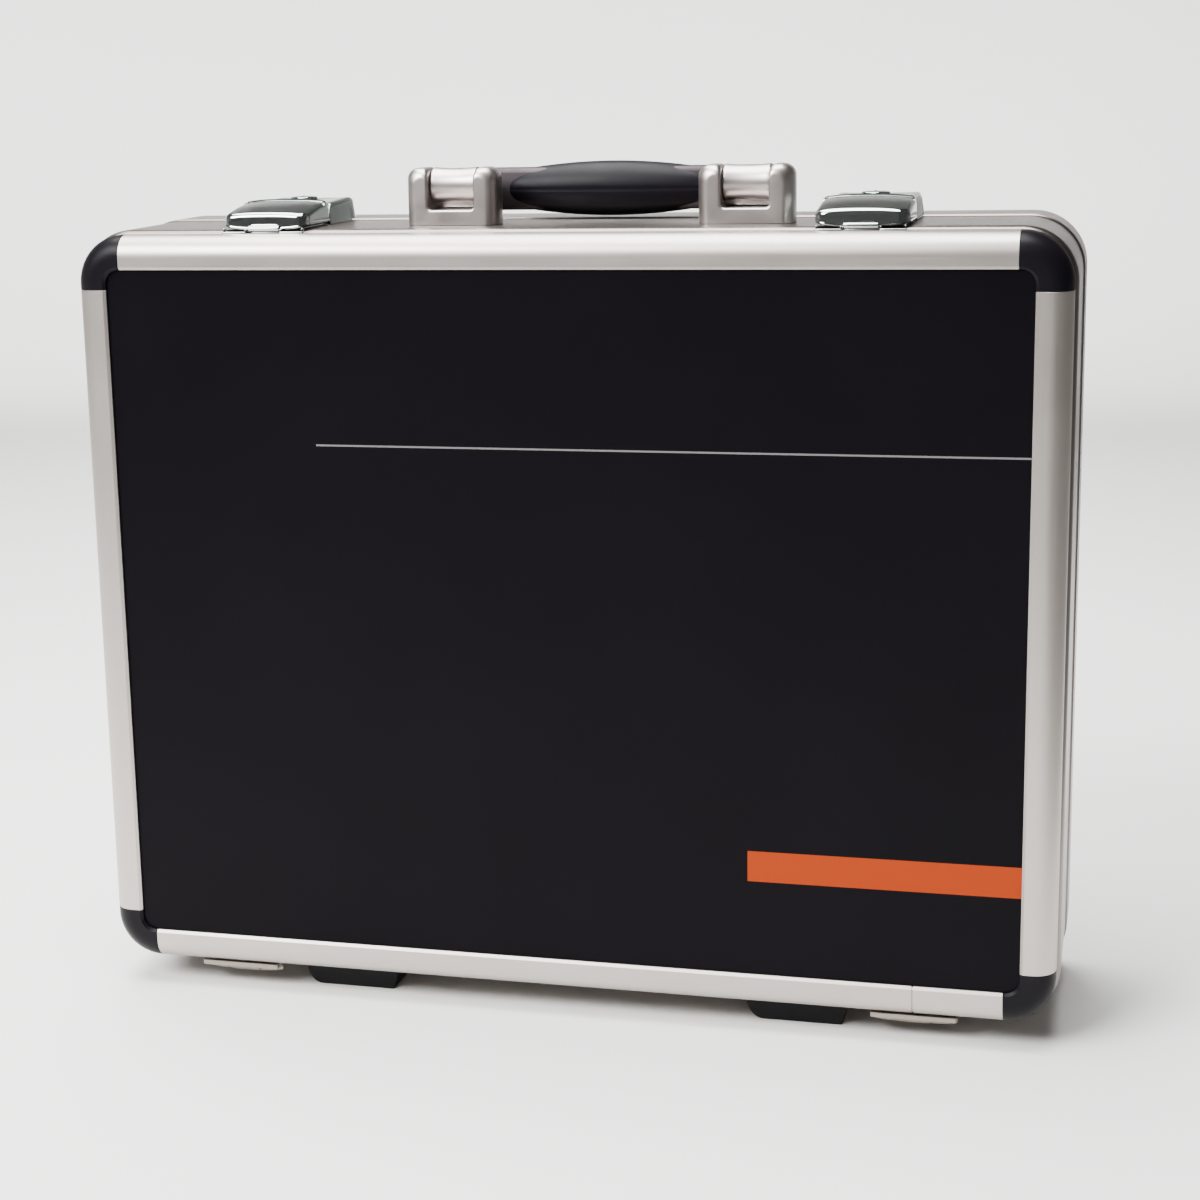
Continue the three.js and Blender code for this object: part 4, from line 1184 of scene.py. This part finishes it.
class CASE_OT_handle(bpy.types.Operator):
    """Builds the folding handle: barrels, arms, cross bar and grip"""
    bl_idname = "case.handle"
    bl_label = "Handle"

    def execute(self, context):
        size = InMillimetres(context.scene.case_handle)
        axis = JOINTS["handle_fold"]
        self.bar(size, axis)
        self.barrels(size, axis)
        self.grip(size, axis)
        return {"FINISHED"}

    def bar(self, size, axis):
        """A cross bar with two arms, which reach forward to the barrels and taper a little."""
        near, far = axis[1] + size.bar_gap, axis[1] + size.bar_gap + size.bar_depth
        low, high = BAND_TOP + size.bar_bottom, BAND_TOP + size.bar_top
        section = rounded_rectangle(size.bar_depth / 2, (high - low) / 2, 2.5, 6,
                                    ((near + far) / 2, (low + high) / 2))
        half, arm_half, arm_end = size.spacing / 2 + 9, 9.8, axis[1] + 2
        arm = joined(
            (arm_end, BAND_TOP + 8.2), (axis[1] + 12, BAND_TOP + 7.6), (near + 2, low + 0.4),
            (near + 2, high - 0.4), (arm_end, BAND_TOP + 23.8))
        parts = [prism(section, "x", axis[0] - half, axis[0] + half, 2.0, 5)]
        for _, sign in SIDES:
            x = axis[0] + sign * size.spacing / 2
            parts.append(prism(arm, "x", x - arm_half, x + arm_half, 0.8, 4))
        finish_piece("handle_bar_cast", parts, "handle", "steel", ["handle_bar"])

    def barrels(self, size, axis):
        """Each barrel's radius is the waist plus the difference times the square of the way from
        its middle to its end, less a quarter-circle edge."""
        place, inward = stations(-1, 1, 0.08)
        middle, corner = 13, len(place) // 2
        place = np.concatenate([place[:corner], np.linspace(-0.8, 0.8, middle), place[corner:]])
        inward = np.concatenate([inward[:corner], np.zeros(middle), inward[corner:]])
        half = size.notch / 2 - 0.3
        radius = size.waist + (size.barrel - size.waist) * place ** 2 - inward * half
        web = rounded_rectangle(3.5, 8.4, 1.0, 5, (axis[1] + 3.2, axis[2] - 1.8))
        for side, sign in SIDES:
            x = axis[0] + sign * size.spacing / 2
            finish_piece(f"handle_barrel_{side}", [
                lathe_x(np.column_stack([place * half, radius]), (x, axis[1], axis[2]), 64),
                prism(web, "x", x - half + 0.2, x + half - 0.2, 0.3, 3)],
                "handle", "nickel")

    def grip(self, size, axis):
        """Rings along X: at a share t of the half length the section is scaled by
        (1 - 0.4 t^2)(1 - |t|^14)^(1/2), which gives a slim middle and a blunt nose. The section is
        an ellipse with a fine groove where its two halves meet."""
        way = -np.cos(np.linspace(0, np.pi, 61))
        scale = (1 - 0.4 * way ** 2) * np.sqrt(np.clip(1 - abs(way) ** 14, 0, None))
        scale[[0, -1]] = 0.02
        turn = full_turn(96)
        groove_depth, groove_width = 0.35, 0.05
        groove = groove_depth * np.exp(-((turn - np.pi) / groove_width) ** 2)
        middle_y = axis[1] + size.bar_gap + size.bar_depth / 2
        rings = np.stack([
            np.broadcast_to((axis[0] + way * size.grip_length)[:, None], (len(way), len(turn))),
            middle_y + scale[:, None] * (np.cos(turn) * (size.grip_depth - groove)),
            BAND_TOP + size.grip_middle + scale[:, None] * (np.sin(turn) * size.grip_height)], -1)
        finish_piece("handle_grip_shell", [skin(rings)], "handle", "grip",
                     ["handle_grip"], sharp=50)


# Stage, in metres

SWEEP_BEND, SWEEP_FLOOR, SWEEP_TOP = 0.8, 2.4, 3.6      # radius, flat floor's reach, wall's top

# Where grey shade is painted on the paper in place of the lamps' falloff, so that the metal
#  reflects it darker: axis, start and end of the change, and its share of grey
PAINTED_SHADE_GREYS = (("Z", 0.54, 0.8, 0.62), ("X", 0.38, 0.62, 0.9), ("Y", -0.45, -1.4, 0.68))

# The lamps: name, place, target, width, height, watts, spread in degrees
LAMPS = (("key", (-1.15, -1.5, 1.7), (0, 0, 0.2), 1.4, 1.0, 30, 80),
         ("top", (-0.4, 0.2, 2.2), (-0.2, 0.3, 0), 2.2, 1.4, 92, 130),
         ("wall", (-0.7, 1.7, 1.1), (-0.9, 3.1, 0.1), 3.2, 0.3, 40, 120))
SKY, SKY_STRENGTH = (0.95, 0.97, 1.0, 1), 0.1

# The camera: its place, and its right, up and backward directions
EYE = (0.24775, -1.03278, 0.42391)
EYE_AXES = ((0.96695, 0.25396, -0.02256), (-0.03275, 0.21146, 0.97684),
            (0.25285, -0.94382, 0.21279))


class CASE_OT_stage(bpy.types.Operator):
    """Sets the pale floor, the soft studio lights and the camera"""
    bl_idname = "case.stage"
    bl_label = "Stage"

    def execute(self, context):
        self.floor(context)
        self.lights(context)
        self.camera(context)
        return {"FINISHED"}

    def floor(self, context):
        """A round paper sweep: the floor, a quarter circle and a wall, turned about the middle. The
            paper is pale round the case and behind it; high up, far in front and to the right, where only
            the metal sees it, shade is painted on it in grey in place of the lamps' falloff."""
        wall = SWEEP_FLOOR + SWEEP_BEND
        bend = arc((SWEEP_FLOOR, SWEEP_BEND), SWEEP_BEND, 270, 360, 20)
        line = np.vstack([[0.02, 0], [0.6, 0], [1.5, 0], bend, [wall, 1.6], [wall, SWEEP_TOP]])
        turn = full_turn(96)
        rings = np.stack([np.column_stack([r * np.cos(turn), r * np.sin(turn), np.full(96, z)])
                          for r, z in line])
        points, faces = skin(rings[::-1], capped=False)
        faces.append(list(range(len(points) - 96, len(points)))[::-1])
        mesh = bpy.data.meshes.new("paper_sweep")
        mesh.from_pydata(points.tolist(), [], faces)
        mesh.shade_smooth()
        material, tree, where = new_material("paper_with_painted_shade", Roughness=0.9)
        axes = add(tree, "ShaderNodeSeparateXYZ", {0: where}).outputs
        painted_shade = 0.0
        for axis, near, far, most in PAINTED_SHADE_GREYS:
            share = add(tree, "ShaderNodeMapRange", {
                "Value": axes[axis], "From Min": near, "From Max": far, "To Max": most},
                interpolation_type="SMOOTHSTEP").outputs[0]
            painted_shade = add(tree, "ShaderNodeMath", {0: share, 1: painted_shade},
                        operation="MAXIMUM").outputs[0]
        paint = context.scene.case_colours.floor
        # Painted shade: the paper darkens towards a fifth of its colour as the grades rise.
        tone = add(tree, "ShaderNodeMix", {0: painted_shade, 6: shaded(paint), 7: shaded(paint, 0.2)},
                   data_type="RGBA")
        mesh.materials.append(driven(material, Base_Color=tone.outputs[2]))
        sweep = bpy.data.objects.new("paper_sweep", mesh)
        context.scene.collection.objects.link(sweep)

    def lights(self, context):
        world = bpy.data.worlds.new("studio")
        context.scene.world = world
        world.use_nodes = True
        background = world.node_tree.nodes["Background"]
        background.inputs["Color"].default_value = SKY
        background.inputs["Strength"].default_value = SKY_STRENGTH
        for name, place, target, width, height, watts, spread in LAMPS:
            light = bpy.data.lights.new(name, "AREA")
            light.shape, light.size, light.size_y = "RECTANGLE", width, height
            light.energy, light.spread = watts, np.radians(spread)
            lamp = bpy.data.objects.new(name, light)
            turned = (Vector(place) - Vector(target)).to_track_quat("Z", "Y").to_matrix()
            lamp.matrix_world = Matrix.Translation(place) @ turned.to_4x4()
            context.scene.collection.objects.link(lamp)

    def camera(self, context):
        """Where the photograph was taken from, fitted to the panel's corners and outer edges."""
        lens = bpy.data.cameras.new("camera")
        lens.sensor_width, lens.lens = 36, 70.14
        lens.shift_x, lens.shift_y = 0.0635, -0.0164
        lens.clip_start, lens.clip_end = 0.05, 50
        eye = bpy.data.objects.new("camera", lens)
        eye.matrix_world = Matrix.Translation(EYE) @ Matrix(EYE_AXES).transposed().to_4x4()
        context.scene.collection.objects.link(eye)
        context.scene.camera = eye


class CASE_PT_panel(bpy.types.Panel):
    """Lists the pieces, their sizes and the colours"""
    bl_idname = "CASE_PT_panel"
    bl_label = "Microphone case"
    bl_space_type = "VIEW_3D"
    bl_region_type = "UI"
    bl_category = "Case"

    def draw(self, context):
        for operator in OPERATORS:
            self.layout.operator(operator.bl_idname)
        for name, group in GROUPS:
            box = self.layout.box()
            for key in group.__annotations__:
                box.prop(getattr(context.scene, name), key)


GROUPS = (
    ("case_shell", CaseShellSizes),
    ("case_foam", CaseFoamSizes),
    ("case_latch", CaseLatchSizes),
    ("case_handle", CaseHandleSizes),
    ("case_colours", CaseColours),
)
OPERATORS = (
    CASE_OT_stage,
    CASE_OT_lid_frame,
    CASE_OT_base_shell,
    CASE_OT_panels,
    CASE_OT_foam,
    CASE_OT_feet,
    CASE_OT_hinges,
    CASE_OT_latches,
    CASE_OT_brackets,
    CASE_OT_handle,
)


def register():
    for name, group in GROUPS:
        bpy.utils.register_class(group)
        setattr(bpy.types.Scene, name, bpy.props.PointerProperty(type=group))
    for made in (*OPERATORS, CASE_PT_panel):
        bpy.utils.register_class(made)


def unregister():
    for made in reversed((*OPERATORS, CASE_PT_panel)):
        bpy.utils.unregister_class(made)
    for name, group in reversed(GROUPS):
        delattr(bpy.types.Scene, name)
        bpy.utils.unregister_class(group)


def main():
    """Builds every piece in turn."""
    register()
    for operator in OPERATORS:
        family, name = operator.bl_idname.split(".")
        getattr(getattr(bpy.ops, family), name)()


if __name__ == "__main__":
    main()
